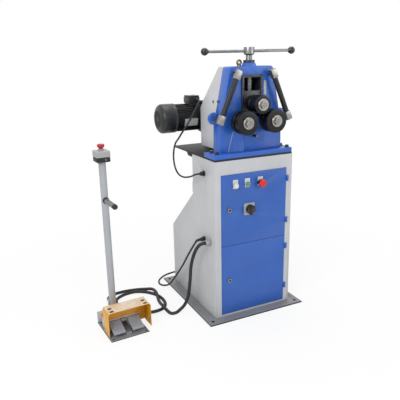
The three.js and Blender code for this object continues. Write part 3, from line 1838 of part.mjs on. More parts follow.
const coilStart = coilCentres[0];
const coilStartDirection = coilCentres[0].clone().sub(coilCentres[1]).setZ(0).normalize();
const leadEnd = coilStart.clone().addScaledVector(coilStartDirection, seatGap);
const leadBefore = coilStart.clone().addScaledVector(coilStartDirection, cordStraight);
const coilEnd = coilCentres[coilCentres.length - 1];
const coilEndDirection = coilEnd.clone().sub(coilCentres[coilCentres.length - 2]).setZ(0).normalize();

const mainsRoute = [
  [glandFace, mainsGlandY, mainsGlandZ],
  [glandFace - glandHexHeight - glandDomeHeight, mainsGlandY, mainsGlandZ],
  [glandFace - glandHexHeight - glandDomeHeight - cordLead, mainsGlandY, mainsGlandZ],
  [-259, 127, 392],
  [-260, 152, 366],
  [-263, 203, 308],
  [-268, 300, 190],
  [-275, 386, 94],
  [-281, 440, 36],
  [-287, 464, 14],
  [-299, 478, 5.5],
  [-315, 487, 5.5],
  [-324, 508, 5.5],
  [-319, 540, 5.5],
  [-296, 576, 5.5],
  [-244, 612, 5.5],
  [-170, 628, 5.5],
  [-100, 624, 5.5],
  leadBefore.toArray(),
  leadEnd.toArray(),
];

function makeMainsPlug() {
  const face = plugNeckLength + plugLength;
  const body = turned('y', [
    [0, 0],
    [plugNeckRadius, 0],
    [plugNeckRadius + plugNeckFlare, plugNeckLength],
    ...lowRim(plugRadius, plugRound, plugNeckLength),
    [plugRadius, face],
    [0, face],
  ], 0, 0, midSides);
  const pins = [-plugPinSpread, plugPinSpread].map((x) => rod(
    'y',
    plugPinRadius,
    face - joinLap,
    face + plugPinLength,
    x,
    0,
    tinySides,
  ));
  return joined(body, ...pins);
}

piece(cabinet, 'base_plate', makeBasePlate(), 'lightGrey');
piece(cabinet, 'cabinet_shell', makeShell(), 'lightGrey');
piece(cabinet, 'table_plate', makeTablePlate(), 'charcoal');
piece(cabinet, 'upper_door', makeDoor(upperDoorLow, upperDoorHigh, [
  doorHole(lockShankRadius + lockShankPlay, lockX, upperLockZ),
  doorHole(gearHole, pilotX, controlZ),
  doorHole(gearHole, startX, controlZ),
  doorHole(gearHole, stopX, controlZ),
  doorHole(gearHole, switchX, switchZ),
]), 'blue');
piece(cabinet, 'lower_door', makeDoor(lowerDoorLow, lowerDoorHigh, [
  doorHole(lockShankRadius + lockShankPlay, lockX, lowerLockZ),
]), 'blue');
piece(cabinet, 'upper_lock', makeLock(upperLockZ), 'brightSteel');
piece(cabinet, 'lower_lock', makeLock(lowerLockZ), 'brightSteel');
piece(cabinet, 'pilot_lamp', makePilotLamp(), 'white');
piece(cabinet, 'start_button_body', makeGearBody(startX, bezelRadius, bezelHeight,
  plungerRadius + plungerGap), 'black');
piece(cabinet, 'start_button', makeStartButton(), 'green');
piece(cabinet, 'stop_button_body', makeGearBody(stopX, stopBezelRadius, stopBezelHeight,
  mushroomStemRadius + plungerGap), 'black');
piece(cabinet, 'stop_button', makeStopButton(), 'red');
piece(cabinet, 'main_switch_body', makeSwitchBody(), 'charcoal');
piece(cabinet, 'main_switch_knob', makeSwitchKnob(), 'black');
piece(cabinet, 'electrics_panel', makeElectrics(), 'zinc');
piece(cabinet, 'motor_cable_gland', makeGland(motorGlandY, motorGlandZ, motorCableRadius), 'black');
piece(cabinet, 'mains_gland', makeGland(mainsGlandY, mainsGlandZ, mainsRadius), 'black');
piece(cabinet, 'conduit_fitting', makeConduitFitting(controlCableRadius), 'brightSteel');

piece(head, 'head_casting', makeHeadCasting(), 'blue');
piece(head, 'rear_cover', makeRearCover(), 'lightGrey');
piece(head, 'guide_frame', makeGuideFrame(), 'steel');
piece(head, 'slide_block', makeSlideBlock(), 'steel');
// The screw and its handle stand a little turned about the spindle's axis.
const handleStand = new THREE.Group();
handleStand.position.set(0, spindleY, 0);
handleStand.rotation.z = THREE.MathUtils.degToRad(handleTurn);
head.add(handleStand);
const handleSet = new THREE.Group();
handleSet.position.set(0, -spindleY, 0);
handleStand.add(handleSet);
piece(handleSet, 'spindle', makeSpindle(), 'brightSteel');
piece(head, 'spindle_nut', makeSpindleNut(), 'steel');
piece(handleSet, 'handle_bar', makeHandleBar(), 'brightSteel');
piece(handleSet, 'ball_knob_left', makeKnob(-1), 'black');
piece(handleSet, 'ball_knob_right', makeKnob(1), 'black');
piece(head, 'lifting_eye', makeLiftingEye(), 'steel');
piece(head, 'upper_shaft', rollShaft(0, upperRollHeight, upperRollLength, slideBack), 'steel');
piece(head, 'upper_roll', makeUpperRoll(), 'hardened');
piece(head, 'upper_roll_nut', rollNut(0, upperRollHeight), 'brightSteel');
for (const [side, word] of [[-1, 'left'], [1, 'right']]) {
  const x = side * rollHalfSpacing;
  const back = gearBack + shaftTail;
  piece(head, `${word}_shaft`, rollShaft(x, lowerRollHeight, lowerRollLength, back), 'steel');
  piece(head, `${word}_roll`, makeLowerRoll(x), 'hardened');
  piece(head, `${word}_roll_nut`, rollNut(x, lowerRollHeight), 'brightSteel');
  piece(head, `${word}_gear`, makeWheel(side), 'steel');
  const bar = piece(head, `${word}_guide_bar`, makeGuideBar(), 'hardened');
  bar.position.set(side * guideLowX, barPlane, guideLowZ);
  bar.rotation.y = -side * guideLean;
}
piece(head, 'drive_pinion', makeDrivePinion(), 'steel');
piece(head, 'gearbox', makeGearbox(), 'black');
piece(head, 'motor_body', makeMotorBody(), 'black');
piece(head, 'fan_cover', makeFanCover(), 'black');
piece(head, 'terminal_box', makeTerminalBox(), 'black');

piece(station, 'pedal_base', makePedalBase(), 'pedalGrey');
piece(station, 'pedal_guard', makePedalGuard(), 'yellow');
piece(station, 'pedal_left', makePedal(-1), 'pedalGrey');
piece(station, 'pedal_right', makePedal(1), 'pedalGrey');
piece(station, 'pole', makePole(), 'lightGrey');
piece(station, 'pole_grip', makeGrip(), 'rubber');
piece(station, 'estop_box', makeEstopBox(), 'lightGrey');
piece(station, 'estop_button', makeEstopButton(), 'red');

piece(part, 'control_cable', cordTube(controlCableRoute, controlCableRadius, tubeSides, 46), 'rubber');
piece(part, 'estop_cable', cordTube(estopCableRoute, controlCableRadius, tubeSides, 30), 'rubber');
piece(part, 'motor_cable', cordTube(motorCableRoute, motorCableRadius, tubeSides, 34), 'rubber');
piece(part, 'mains_lead', cordTube(mainsRoute, mainsRadius, tubeSides, 42), 'rubber');
piece(part, 'mains_coil', ringedTube(coilCentres, mainsRadius, coilSides), 'rubber');
const plug = piece(part, 'mains_plug', makeMainsPlug(), 'black');
plug.position.copy(coilEnd).addScaledVector(coilEndDirection, seatGap);
plug.rotation.z = Math.atan2(coilEndDirection.y, coilEndDirection.x) - Math.PI / 2;

export default part;
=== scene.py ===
"""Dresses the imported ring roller: finishes, hardware, cables, studio floor, light and camera."""

import json
import math

import bmesh
import bpy
from mathutils import Matrix, Vector

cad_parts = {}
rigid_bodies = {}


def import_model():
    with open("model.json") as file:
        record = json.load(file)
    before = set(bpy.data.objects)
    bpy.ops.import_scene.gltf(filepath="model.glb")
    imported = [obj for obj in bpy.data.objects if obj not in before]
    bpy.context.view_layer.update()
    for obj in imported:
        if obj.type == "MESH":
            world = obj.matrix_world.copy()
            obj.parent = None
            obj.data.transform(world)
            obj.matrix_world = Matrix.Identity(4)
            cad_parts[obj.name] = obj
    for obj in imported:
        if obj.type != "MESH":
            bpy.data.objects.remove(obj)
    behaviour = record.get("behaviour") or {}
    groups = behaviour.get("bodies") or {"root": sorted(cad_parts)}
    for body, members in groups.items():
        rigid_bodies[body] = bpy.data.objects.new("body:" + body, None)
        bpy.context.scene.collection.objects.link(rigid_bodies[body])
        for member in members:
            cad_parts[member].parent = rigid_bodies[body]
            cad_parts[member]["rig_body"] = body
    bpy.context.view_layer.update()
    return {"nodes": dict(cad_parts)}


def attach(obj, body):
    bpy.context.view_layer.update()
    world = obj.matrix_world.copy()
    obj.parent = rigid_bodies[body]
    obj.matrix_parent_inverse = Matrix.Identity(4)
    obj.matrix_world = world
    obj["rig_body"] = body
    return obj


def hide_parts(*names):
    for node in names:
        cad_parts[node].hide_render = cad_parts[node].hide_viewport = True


bl_info = {
    "name": "Ring Roller",
    "version": (1, 0, 0),
    "blender": (4, 5, 0),
    "location": "View3D > Sidebar > Ring Roller",
    "description": "Builds the visible pieces of a motorised ring roller round its packed solids",
    "category": "Add Mesh",
}

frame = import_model()
nodes = frame["nodes"]
body_of_node = {name: node["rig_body"] for name, node in nodes.items()}
millimetre = 0.001
fixed_body = "machine_frame"


def hex_linear(text):
    """Turns an sRGB hex colour into the linear RGBA that the shaders use."""
    values = [int(text[i : i + 2], 16) / 255 for i in (0, 2, 4)]
    linear = [v / 12.92 if v <= 0.04045 else ((v + 0.055) / 1.055) ** 2.4 for v in values]
    return (*linear, 1.0)


# Settings

def length_setting(name, description, default):
    """A length given in millimetres, which the sidebar shows in metres."""
    kind = {"min": 0.0, "max": 1.0, "unit": "LENGTH", "precision": 5, "default": default * millimetre}
    return bpy.props.FloatProperty(name=name, description=description, **kind)


def colour_setting(name, description, text):
    """A colour stored as linear RGB."""
    kind = {"min": 0.0, "max": 1.0, "size": 3, "subtype": "COLOR"}
    start = hex_linear(text)[:3]
    return bpy.props.FloatVectorProperty(name=name, description=description, default=start, **kind)


class RingRollerColours(bpy.types.PropertyGroup):
    """Colours of the painted, moulded and metal surfaces."""

    casting_blue: colour_setting("Casting blue", "Enamel on the bending head", "2660BE")
    door_blue: colour_setting("Door blue", "Powder coat on the two doors", "2B5DB2")
    cabinet_grey: colour_setting("Cabinet grey", "Powder coat on the cabinet", "C3C5C8")
    cover_grey: colour_setting("Cover grey", "Powder coat on the rear cover", "C9CACD")
    table_black: colour_setting("Table black", "Paint on the table plate", "0C0D0E")
    motor_black: colour_setting("Motor black", "Paint on the motor and gearbox", "1B1C1E")
    roll_black: colour_setting("Roll black", "Oxide on the rolls", "101012")
    sleeve_black: colour_setting("Sleeve black", "Oxide on the guide bars", "1C1B1C")
    steel: colour_setting("Steel", "Turned steel", "8F9091")
    bright_steel: colour_setting("Bright steel", "Polished bar", "8E8E90")
    slide_steel: colour_setting("Slide steel", "Milled guide frame and slide", "4E5054")
    zinc: colour_setting("Zinc", "Plated screws", "B6B5B0")
    nut_steel: colour_setting("Nut steel", "Ground washers, nuts and bar ends", "A19E9A")
    brass_zinc: colour_setting("Yellow zinc", "Passivated eye bolt", "9A8A5C")
    guard_yellow: colour_setting("Guard yellow", "Paint on the pedal guard", "E0A21E")
    pedal_grey: colour_setting("Pedal grey", "Paint on the two pedals", "989DA8")
    station_grey: colour_setting("Station grey", "Paint on the floor plates", "85878C")
    pole_grey: colour_setting("Pole grey", "Paint on the pole", "A9ACB1")
    rubber_black: colour_setting("Rubber black", "Cable sheath and grip", "232426")
    plastic_black: colour_setting("Plastic black", "Moulded control parts", "18191B")
    knob_black: colour_setting("Knob black", "Moulded ball knobs", "0F0F11")
    stop_red: colour_setting("Stop red", "Stop buttons", "D8221B")
    stop_head_red: colour_setting("Stop head red", "Mushroom on the post", "B62330")
    start_green: colour_setting("Start green", "Start button", "3F9C72")
    lamp_white: colour_setting("Lamp white", "Lens of the pilot lamp", "DCDDDA")
    box_white: colour_setting("Box white", "Lid of the stop box", "A6A8A6")
    plate_white: colour_setting("Plate white", "Blank legend plates", "CFD1D1")
    floor_white: colour_setting("Floor white", "Studio floor and backdrop", "FFFFFF")


class RingRollerSizes(bpy.types.PropertyGroup):
    """Sizes of the fine detail that the solids leave out."""

    casting_edge: length_setting("Casting edge", "Rounding on the cast corners", 3.0)
    sheet_edge: length_setting("Sheet edge", "Rounding on folded sheet", 1.2)
    machined_edge: length_setting("Machined edge", "Break on turned and milled edges", 0.6)
    moulded_edge: length_setting("Moulded edge", "Rounding on moulded plastic", 0.8)
    fin_height: length_setting("Fin height", "Height of the motor's cooling fins", 8.0)
    fin_thickness: length_setting("Fin thickness", "Thickness of a cooling fin", 2.2)
    rib_pitch: length_setting("Rib pitch", "Spacing of the ribs on the guide sleeves", 5.0)
    thread_pitch: length_setting("Thread pitch", "Pitch of the feed screw", 5.0)
    control_cable_diameter: length_setting("Control cable", "Diameter of the control cables", 17.0)
    motor_cable_diameter: length_setting("Motor cable", "Diameter of the motor cable", 9.0)
    mains_diameter: length_setting("Mains lead", "Diameter of the mains lead", 10.0)


def colours():
    return bpy.context.scene.ring_roller_colours


def sizes():
    return bpy.context.scene.ring_roller_sizes


def shade(colour, factor):
    """The same colour, lighter or darker."""
    return (*[min(1.0, c * factor) for c in colour[:3]], 1.0)


# Nodes and materials

def add_node(tree, kind, inputs=None, **settings):
    """Adds one node with its options; an input that is a socket is linked, any other is a value."""
    node = tree.nodes.new(kind)
    for name, value in settings.items():
        setattr(node, name, value)
    for name, value in (inputs or {}).items():
        if isinstance(value, bpy.types.NodeSocket):
            tree.links.new(value, node.inputs[name])
        else:
            node.inputs[name].default_value = value
    return node


def maths(tree, operation, *inputs):
    """The result of one maths node."""
    node = add_node(tree, "ShaderNodeMath", dict(enumerate(inputs)), operation=operation)
    return node.outputs["Value"]


def start_material(name, **sockets):
    """An empty material with its surface shader, and the object coordinates in metres."""
    material = bpy.data.materials.new(name)
    material.use_nodes = True
    tree = material.node_tree
    tree.nodes.clear()
    values = {socket.replace("_", " "): value for socket, value in sockets.items()}
    surface = add_node(tree, "ShaderNodeBsdfPrincipled", values)
    add_node(tree, "ShaderNodeOutputMaterial", {"Surface": surface.outputs["BSDF"]})
    place = add_node(tree, "ShaderNodeTexCoord").outputs["Object"]
    return material, tree, surface, place


def noise(tree, place, size, detail=3.0, stretch=None):
    """Noise whose grains are about size millimetres, stretched by a Mapping node if asked."""
    if stretch:
        place = add_node(tree, "ShaderNodeMapping", {"Scale": stretch, "Vector": place}).outputs["Vector"]
    inputs = {"Scale": 1 / (size * millimetre), "Detail": detail, "Roughness": 0.55, "Vector": place}
    return add_node(tree, "ShaderNodeTexNoise", inputs).outputs["Fac"]


def spread(tree, value, low, high, low_out=0.0, high_out=1.0):
    """Maps a value from one range to another, clamped."""
    inputs = {"From Min": low, "From Max": high, "To Min": low_out, "To Max": high_out, "Value": value}
    return add_node(tree, "ShaderNodeMapRange", inputs).outputs["Result"]


def mixed(tree, factor, first, second):
    """A colour between two, by a factor."""
    inputs = {"Factor": factor, 6: first, 7: second}
    return add_node(tree, "ShaderNodeMix", inputs, data_type="RGBA").outputs[2]


def clouded(tree, cloud, colour, darkest, lightest, low=0.35, high=0.65):
    """A colour that drifts between two of its shades as a noise does."""
    return mixed(tree, spread(tree, cloud, low, high), shade(colour, darkest), shade(colour, lightest))


def dress_surface(tree, surface, tint, marks, smoothest, roughest, depth, height=None):
    """Plugs in a colour, a roughness that follows the marks, and a relief of depth millimetres."""
    if tint:
        tree.links.new(tint, surface.inputs["Base Color"])
    rough = spread(tree, marks, 0.3, 0.7, smoothest, roughest)
    tree.links.new(rough, surface.inputs["Roughness"])
    inputs = {"Strength": 1.0, "Distance": depth * millimetre, "Height": height or marks}
    relief = add_node(tree, "ShaderNodeBump", inputs)
    tree.links.new(relief.outputs["Normal"], surface.inputs["Normal"])


def sprayed_enamel(name, colour, grain, depth, roughness, coat):
    """Sprayed paint: an orange-peel skin, faint cloudiness and a soft gloss."""
    gloss = {"Roughness": roughness, "IOR": 1.5, "Coat_Weight": coat, "Coat_Roughness": 0.18}
    material, tree, surface, place = start_material(name, **gloss)
    tint = clouded(tree, noise(tree, place, 160.0, 2.0), colour, 0.95, 1.04)
    peel = noise(tree, place, grain, 2.0)
    dress_surface(tree, surface, tint, peel, roughness - 0.05, roughness + 0.06, depth)
    return material


def enamel_on_casting():
    # Thick enamel over sand-cast iron: rounded, slightly lumpy skin with soft highlights.
    gloss = {"Roughness": 0.34, "IOR": 1.5, "Coat_Weight": 0.18, "Coat_Roughness": 0.15}
    material, tree, surface, place = start_material("enamel_on_cast_iron", **gloss)
    tint = clouded(tree, noise(tree, place, 90.0), colours().casting_blue, 0.92, 1.06)
    sand = noise(tree, place, 3.0)
    height = maths(tree, "MULTIPLY_ADD", noise(tree, place, 38.0, 2.0), 3.0, sand)
    dress_surface(tree, surface, tint, sand, 0.28, 0.42, 0.35, height)
    return material


def safety_yellow():
    # Signal yellow gloss, mixed paler on upward faces: painted top light, broken up by noise scuffs.
    gloss = {"Roughness": 0.36, "IOR": 1.5, "Coat_Weight": 0.15, "Coat_Roughness": 0.2}
    material, tree, surface, place = start_material("signal_yellow_gloss", **gloss)
    colour = colours().guard_yellow
    normal = add_node(tree, "ShaderNodeNewGeometry").outputs["Normal"]
    upward = add_node(tree, "ShaderNodeSeparateXYZ", {"Vector": normal}).outputs["Z"]
    scuffs = spread(tree, noise(tree, place, 42.0, 4.0), 0.34, 0.6, 0.45, 1.0)
    # Upward faces blend towards a pale tint: painted top light, in patches set by the scuff noise.
    top_light_and_scuffs = maths(tree, "MULTIPLY", spread(tree, upward, 0.75, 0.98), scuffs)
    pale_top_light = (*[0.35 * c + 0.65 * 0.8 for c in colour[:3]], 1.0)
    base = clouded(tree, noise(tree, place, 70.0, 2.0), colour, 0.9, 1.05)
    peel = noise(tree, place, 1.8, 2.0)
    dress_surface(tree, surface, mixed(tree, top_light_and_scuffs, base, pale_top_light), peel, 0.32, 0.46, 0.05)
    return material


def plain_metal(name, colour, roughness, grain, depth, stretch=None):
    """Bare metal with fine tool marks, drawn coarse enough to show."""
    material, tree, surface, place = start_material(name, Metallic=1.0, Roughness=roughness)
    marks = noise(tree, place, grain, stretch=stretch)
    tint = clouded(tree, noise(tree, place, 26.0, 2.0), colour, 0.86, 1.06)
    dress_surface(tree, surface, tint, marks, roughness - 0.08, roughness + 0.1, depth)
    return material


def black_oxide():
    # Hardened steel blackened in salt: near-black, satin, with a grey bloom on the high spots.
    material, tree, surface, place = start_material("black_oxide_steel", Metallic=0.35, Roughness=0.36)
    bloom = noise(tree, place, 24.0, 4.0)
    tint = clouded(tree, bloom, colours().roll_black, 0.9, 1.9, 0.45, 0.72)
    marks = noise(tree, place, 1.6, 2.0, (1, 0.15, 1))
    dress_surface(tree, surface, tint, marks, 0.27, 0.45, 0.04)
    return material


def moulded(name, colour, roughness, grain=1.4, depth=0.03, **sockets):
    """Moulded plastic: one even colour with a very fine grain."""
    sockets = {"Roughness": roughness, "IOR": 1.49, "Base_Color": (*colour[:3], 1.0), **sockets}
    material, tree, surface, place = start_material(name, **sockets)
    skin = noise(tree, place, grain, 2.0)
    dress_surface(tree, surface, None, skin, max(0.05, roughness - 0.05), roughness + 0.06, depth)
    return material


def phenolic_black():
    # Polished phenolic ball knobs: a hard, wet gloss.
    gloss = {"Coat_Weight": 0.4, "Coat_Roughness": 0.04}
    return moulded("polished_phenolic", colours().knob_black, 0.1, 20.0, 0.01, **gloss)


def lamp_white():
    # Opal polycarbonate lens: milky, with a little light inside it.
    milk = {"Subsurface_Weight": 0.25, "Subsurface_Scale": 0.004}
    return moulded("opal_polycarbonate", colours().lamp_white, 0.18, **milk)


def cable_rubber():
    # Rubber sheath: matte black with faint dust.
    material, tree, surface, place = start_material("cable_rubber", Roughness=0.55, IOR=1.5)
    dust = noise(tree, place, 14.0, 4.0)
    tint = clouded(tree, dust, colours().rubber_black, 0.85, 1.8, 0.5, 0.75)
    dress_surface(tree, surface, tint, noise(tree, place, 1.5, 2.0), 0.48, 0.66, 0.06)
    return material


def painted_highlight_edge():
    # Painted highlight: enamel mixed paler along a cast ridge, standing for the light its edge catches.
    colour = [0.6 * c + 0.4 * 0.7 for c in colours().casting_blue]
    return sprayed_enamel("enamel_painted_highlight", colour, 2.0, 0.05, 0.25, 0.3)


# Every finish. Paints give colour, grain, relief, roughness and coat; metals give colour,
# roughness, grain, relief and the stretch of their marks; plastics give colour and roughness.
finishes = {
    "casting": enamel_on_casting,
    "guard": safety_yellow,
    "roll": black_oxide,
    "knob": phenolic_black,
    "lamp": lamp_white,
    "rubber": cable_rubber,
    "highlightedge": painted_highlight_edge,
    # Oven-cured powder on sheet steel: an even eggshell skin.
    "door": lambda: sprayed_enamel("powder_coat_blue", colours().door_blue, 1.6, 0.05, 0.42, 0.1),
    # The same powder in light grey, on the folded cabinet.
    "cabinet": lambda: sprayed_enamel(
        "powder_coat_light_grey", colours().cabinet_grey, 1.6, 0.05, 0.46, 0.05
    ),
    # A slightly lighter batch of the grey, on the rear cover.
    "cover": lambda: sprayed_enamel("powder_coat_cover_grey", colours().cover_grey, 1.6, 0.05, 0.44, 0.05),
    # Smooth grey powder on tube.
    "pole": lambda: sprayed_enamel("powder_coat_pole_grey", colours().pole_grey, 1.4, 0.04, 0.4, 0.05),
    # Textured black paint that hides handling marks on the table plate.
    "table": lambda: sprayed_enamel("textured_black_paint", colours().table_black, 1.2, 0.12, 0.55, 0.0),
    # Machine enamel on cast aluminium and iron: deep black with a dull gloss.
    "motor": lambda: sprayed_enamel("motor_enamel_black", colours().motor_black, 2.2, 0.1, 0.38, 0.1),
    # Hammered grey enamel on the pedal castings.
    "pedal": lambda: sprayed_enamel("hammered_enamel_grey", colours().pedal_grey, 3.2, 0.25, 0.48, 0.0),
    # Grey enamel of the floor plates, darker and flatter than the cabinet's.
    "station": lambda: sprayed_enamel("pedal_plate_enamel", colours().station_grey, 2.2, 0.08, 0.45, 0.1),
    # The black of the ribbed guide sleeves, warmer and drier than that of the rolls.
    "sleeve": lambda: sprayed_enamel("black_oxide_sleeve", colours().sleeve_black, 1.6, 0.06, 0.4, 0.0),
    # Cold-drawn and polished bar: bright and even, with faint clouding from handling.
    "bar": lambda: plain_metal("cold_drawn_steel", colours().bright_steel, 0.24, 24.0, 0.004),
    # Plain turned steel: an even satin surface.
    "turned": lambda: plain_metal("turned_steel", colours().steel, 0.3, 7.0, 0.006),
    # Milled and slightly tarnished steel: dull grey with short marks.
    "milled": lambda: plain_metal("milled_steel", colours().slide_steel, 0.42, 2.2, 0.05, (1, 1, 0.2)),
    # Bright zinc on bought-in screws and brackets: pale, slightly yellow and soft.
    "zinc": lambda: plain_metal("zinc_plated_steel", colours().zinc, 0.32, 3.0, 0.02),
    # Hobbed gear steel with a film of oil: darker and glossier than the shafts.
    "gear": lambda: plain_metal("oiled_gear_steel", shade(colours().steel, 0.7), 0.26, 1.5, 0.04),
    # Ground steel of washers, nuts and bar ends: bright, with soft patches that catch the light.
    "nut": lambda: plain_metal("ground_steel", colours().nut_steel, 0.34, 8.0, 0.02),
    # Yellow passivated zinc of the eye bolt: a dull straw colour.
    "brass": lambda: plain_metal("yellow_zinc", colours().brass_zinc, 0.4, 4.0, 0.05),
    # Dark chrome of the rest bar: smoky, with long soft highlights.
    "gripbar": lambda: plain_metal("smoked_chrome", hex_linear("8C8F94"), 0.28, 12.0, 0.01),
    # Blank brushed aluminium plate: long fine scratches one way.
    "nameplate": lambda: plain_metal(
        "brushed_aluminium", shade(colours().steel, 1.15), 0.34, 1.2, 0.03, (0.04, 1, 1)
    ),
    # Glass-filled nylon of glands and switch bodies: dull black.
    "nylon": lambda: moulded("glass_filled_nylon", colours().plastic_black, 0.45),
    # Glossy signal red of the stop button on the door.
    "red": lambda: moulded("gloss_abs_red", colours().stop_red, 0.25),
    # Deeper, slightly pink red of the big mushroom on the post.
    "stophead": lambda: moulded("nylon_stop_red", colours().stop_head_red, 0.35),
    # Glossy green of the flush plunger.
    "green": lambda: moulded("gloss_abs_green", colours().start_green, 0.25),
    # Light grey polycarbonate of the stop box lid, the bezels and the switch plate.
    "box": lambda: moulded("polycarbonate_light_grey", colours().box_white, 0.35),
    # Blank laminate legend plates.
    "legend": lambda: moulded("laminate_white", colours().plate_white, 0.3),
    # Thermoplastic of the switchgear inside the cabinet.
    "switchgear": lambda: moulded("thermoplastic_grey", hex_linear("8E9194"), 0.45),
    # Painted shade: a near-black for holes and recesses that are only drawn on the surface.
    "painted_shade": lambda: moulded("hole_shadow", (0.004, 0.004, 0.004), 0.8),
}
made_materials = {}


def material_named(name):
    """A finish from the list, made once."""
    if name not in made_materials:
        made_materials[name] = finishes[name]()
    return made_materials[name]


# Shapes in millimetres

def axes_matrix(axis):
    """Turns a shape made along Z onto another axis."""
    if axis == "x":
        return Matrix(((0, 0, 1), (0, 1, 0), (-1, 0, 0)))
    if axis == "y":
        return Matrix(((1, 0, 0), (0, 0, 1), (0, -1, 0)))
    return Matrix.Identity(3)


class Shape:
    """Points and faces of one piece, gathered in millimetres."""

    def __init__(self):
        self.points = []
        self.faces = []

    def add(self, points, faces):
        base = len(self.points)
        self.points.extend(Vector(p) for p in points)
        self.faces.extend([base + i for i in face] for face in faces)
        return self

    def block(self, x0, x1, y0, y1, z0, z1):
        corners = [(x, y, z) for z in (z0, z1) for y in (y0, y1) for x in (x0, x1)]
        sides = [(0, 2, 3, 1), (4, 5, 7, 6), (0, 1, 5, 4), (2, 6, 7, 3), (0, 4, 6, 2), (1, 3, 7, 5)]
        return self.add(corners, sides)

    def turned(self, profile, axis="z", centre=(0, 0, 0), sides=48, ring=False):
        """A turned shape; the profile holds (radius, place along the axis). A ring closes on itself."""
        turn = axes_matrix(axis)
        centre = Vector(centre)
        points = []
        rows = []
        for radius, along in profile:
            if radius < 1e-6:
                rows.append([len(points)])
                points.append(centre + turn @ Vector((0, 0, along)))
                continue
            row = []
            for i in range(sides):
                angle = 2 * math.pi * i / sides
                row.append(len(points))
                local = Vector((radius * math.cos(angle), radius * math.sin(angle), along))
                points.append(centre + turn @ local)
            rows.append(row)
        faces = []
        pairs = list(zip(rows, rows[1:]))
        if ring:
            pairs.append((rows[-1], rows[0]))
        for low, high in pairs:
            for i in range(sides):
                j = (i + 1) % sides
                if len(low) == 1 and len(high) == 1:
                    continue
                if len(low) == 1:
                    faces.append((low[0], high[j], high[i]))
                elif len(high) == 1:
                    faces.append((low[i], low[j], high[0]))
                else:
                    faces.append((low[i], low[j], high[j], high[i]))
        return self.add(points, faces)

    def rod(self, radius, low, high, axis="z", centre=(0, 0, 0), sides=48, edge=0.0):
        if edge > 0:
            profile = [(0, low), (radius - edge, low), (radius, low + edge)]
            profile += [(radius, high - edge), (radius - edge, high), (0, high)]
        else:
            profile = [(0, low), (radius, low), (radius, high), (0, high)]
        return self.turned(profile, axis, centre, sides)

    def prism(self, outline, axis, low, high):
        """An outline of (u, v) points pushed along an axis: (y, z), (x, z) or (x, y)."""
        order = {
            "x": lambda u, v, w: (w, u, v),
            "y": lambda u, v, w: (u, w, v),
            "z": lambda u, v, w: (u, v, w),
        }
        point = order[axis]
        count = len(outline)
        points = [point(u, v, low) for u, v in outline] + [point(u, v, high) for u, v in outline]
        faces = [tuple(range(count)), tuple(range(count, 2 * count))]
        for i in range(count):
            j = (i + 1) % count
            faces.append((i, j, count + j, count + i))
        return self.add(points, faces)

    def tube(self, path, radius, sides=16):
        """A round tube along a path, with flat ends."""
        path = [Vector(p) for p in path]
        count = len(path)
        along = []
        for i in range(count):
            along.append((path[min(count - 1, i + 1)] - path[max(0, i - 1)]).normalized())
        side = along[0].orthogonal().normalized()
        radii = radius if isinstance(radius, list) else [radius] * count
        points = []
        for i in range(count):
            if i > 0:
                side = along[i - 1].rotation_difference(along[i]) @ side
            side = (side - along[i] * side.dot(along[i])).normalized()
            up = along[i].cross(side)
            for s in range(sides):
                angle = 2 * math.pi * s / sides
                points.append(path[i] + radii[i] * (side * math.cos(angle) + up * math.sin(angle)))
        faces = [tuple(range(sides)), tuple(range((count - 1) * sides, count * sides))]
        for i in range(count - 1):
            for s in range(sides):
                t = (s + 1) % sides
                faces.append((i * sides + s, i * sides + t, (i + 1) * sides + t, (i + 1) * sides + s))
        return self.add(points, faces)

    def moved(self, matrix):
        self.points = [matrix @ p for p in self.points]
        return self

    def joined(self, other):
        return self.add(other.points, other.faces)

    def to_mesh(self, name):
        mesh = bpy.data.meshes.new(name)
        mesh.from_pydata([tuple(p * millimetre) for p in self.points], [], self.faces)
        bm = bmesh.new()
        bm.from_mesh(mesh)
        bmesh.ops.remove_doubles(bm, verts=bm.verts, dist=1e-7)
        bmesh.ops.recalc_face_normals(bm, faces=bm.faces)
        bm.to_mesh(mesh)
        bm.free()
        return mesh


def smooth_by_angle(mesh, degrees):
    """Smooth faces, with sharp edges where the surface turns by more than some degrees."""
    bm = bmesh.new()
    bm.from_mesh(mesh)
    limit = math.radians(degrees)
    for face in bm.faces:
        face.smooth = True
    for edge in bm.edges:
        edge.smooth = len(edge.link_faces) == 2 and edge.calc_face_angle(0.0) < limit
    bm.to_mesh(mesh)
    bm.free()


def evaluated_mesh(piece):
    """The plain mesh that an object's modifiers make."""
    bpy.context.view_layer.update()
    return bpy.data.meshes.new_from_object(piece.evaluated_get(bpy.context.evaluated_depsgraph_get()))


def in_scene(name, data):
    """A new object, linked to the scene."""
    item = bpy.data.objects.new(name, data)
    bpy.context.scene.collection.objects.link(item)
    return item


def put(mesh, name, finish, body=fixed_body, edge=0.0, steps=2, smooth=35, stands_for=()):
    """Makes a finished piece of a mesh: rounded edges, its material, and the body it rides on."""
    piece = in_scene(name, mesh)
    mesh.materials.clear()
    mesh.materials.append(material_named(finish))
    if edge > 0:
        bevel = piece.modifiers.new("rounded_edges", "BEVEL")
        bevel.width = edge
        bevel.segments = steps
        bevel.limit_method = "ANGLE"
        bevel.angle_limit = math.radians(32)
        bevel.use_clamp_overlap = True
        bevel.miter_outer = "MITER_ARC"
        baked = evaluated_mesh(piece)
        piece.modifiers.clear()
        piece.data = baked
        baked.materials.clear()
        baked.materials.append(material_named(finish))
        bpy.data.meshes.remove(mesh)
        baked.name = name
        mesh = baked
    smooth_by_angle(mesh, smooth)
    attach(piece, body)
    if stands_for:
        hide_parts(*stands_for)
    return piece


def place_shape(shape, name, finish, body=fixed_body, **options):
    return put(shape.to_mesh(name), name, finish, body, **options)


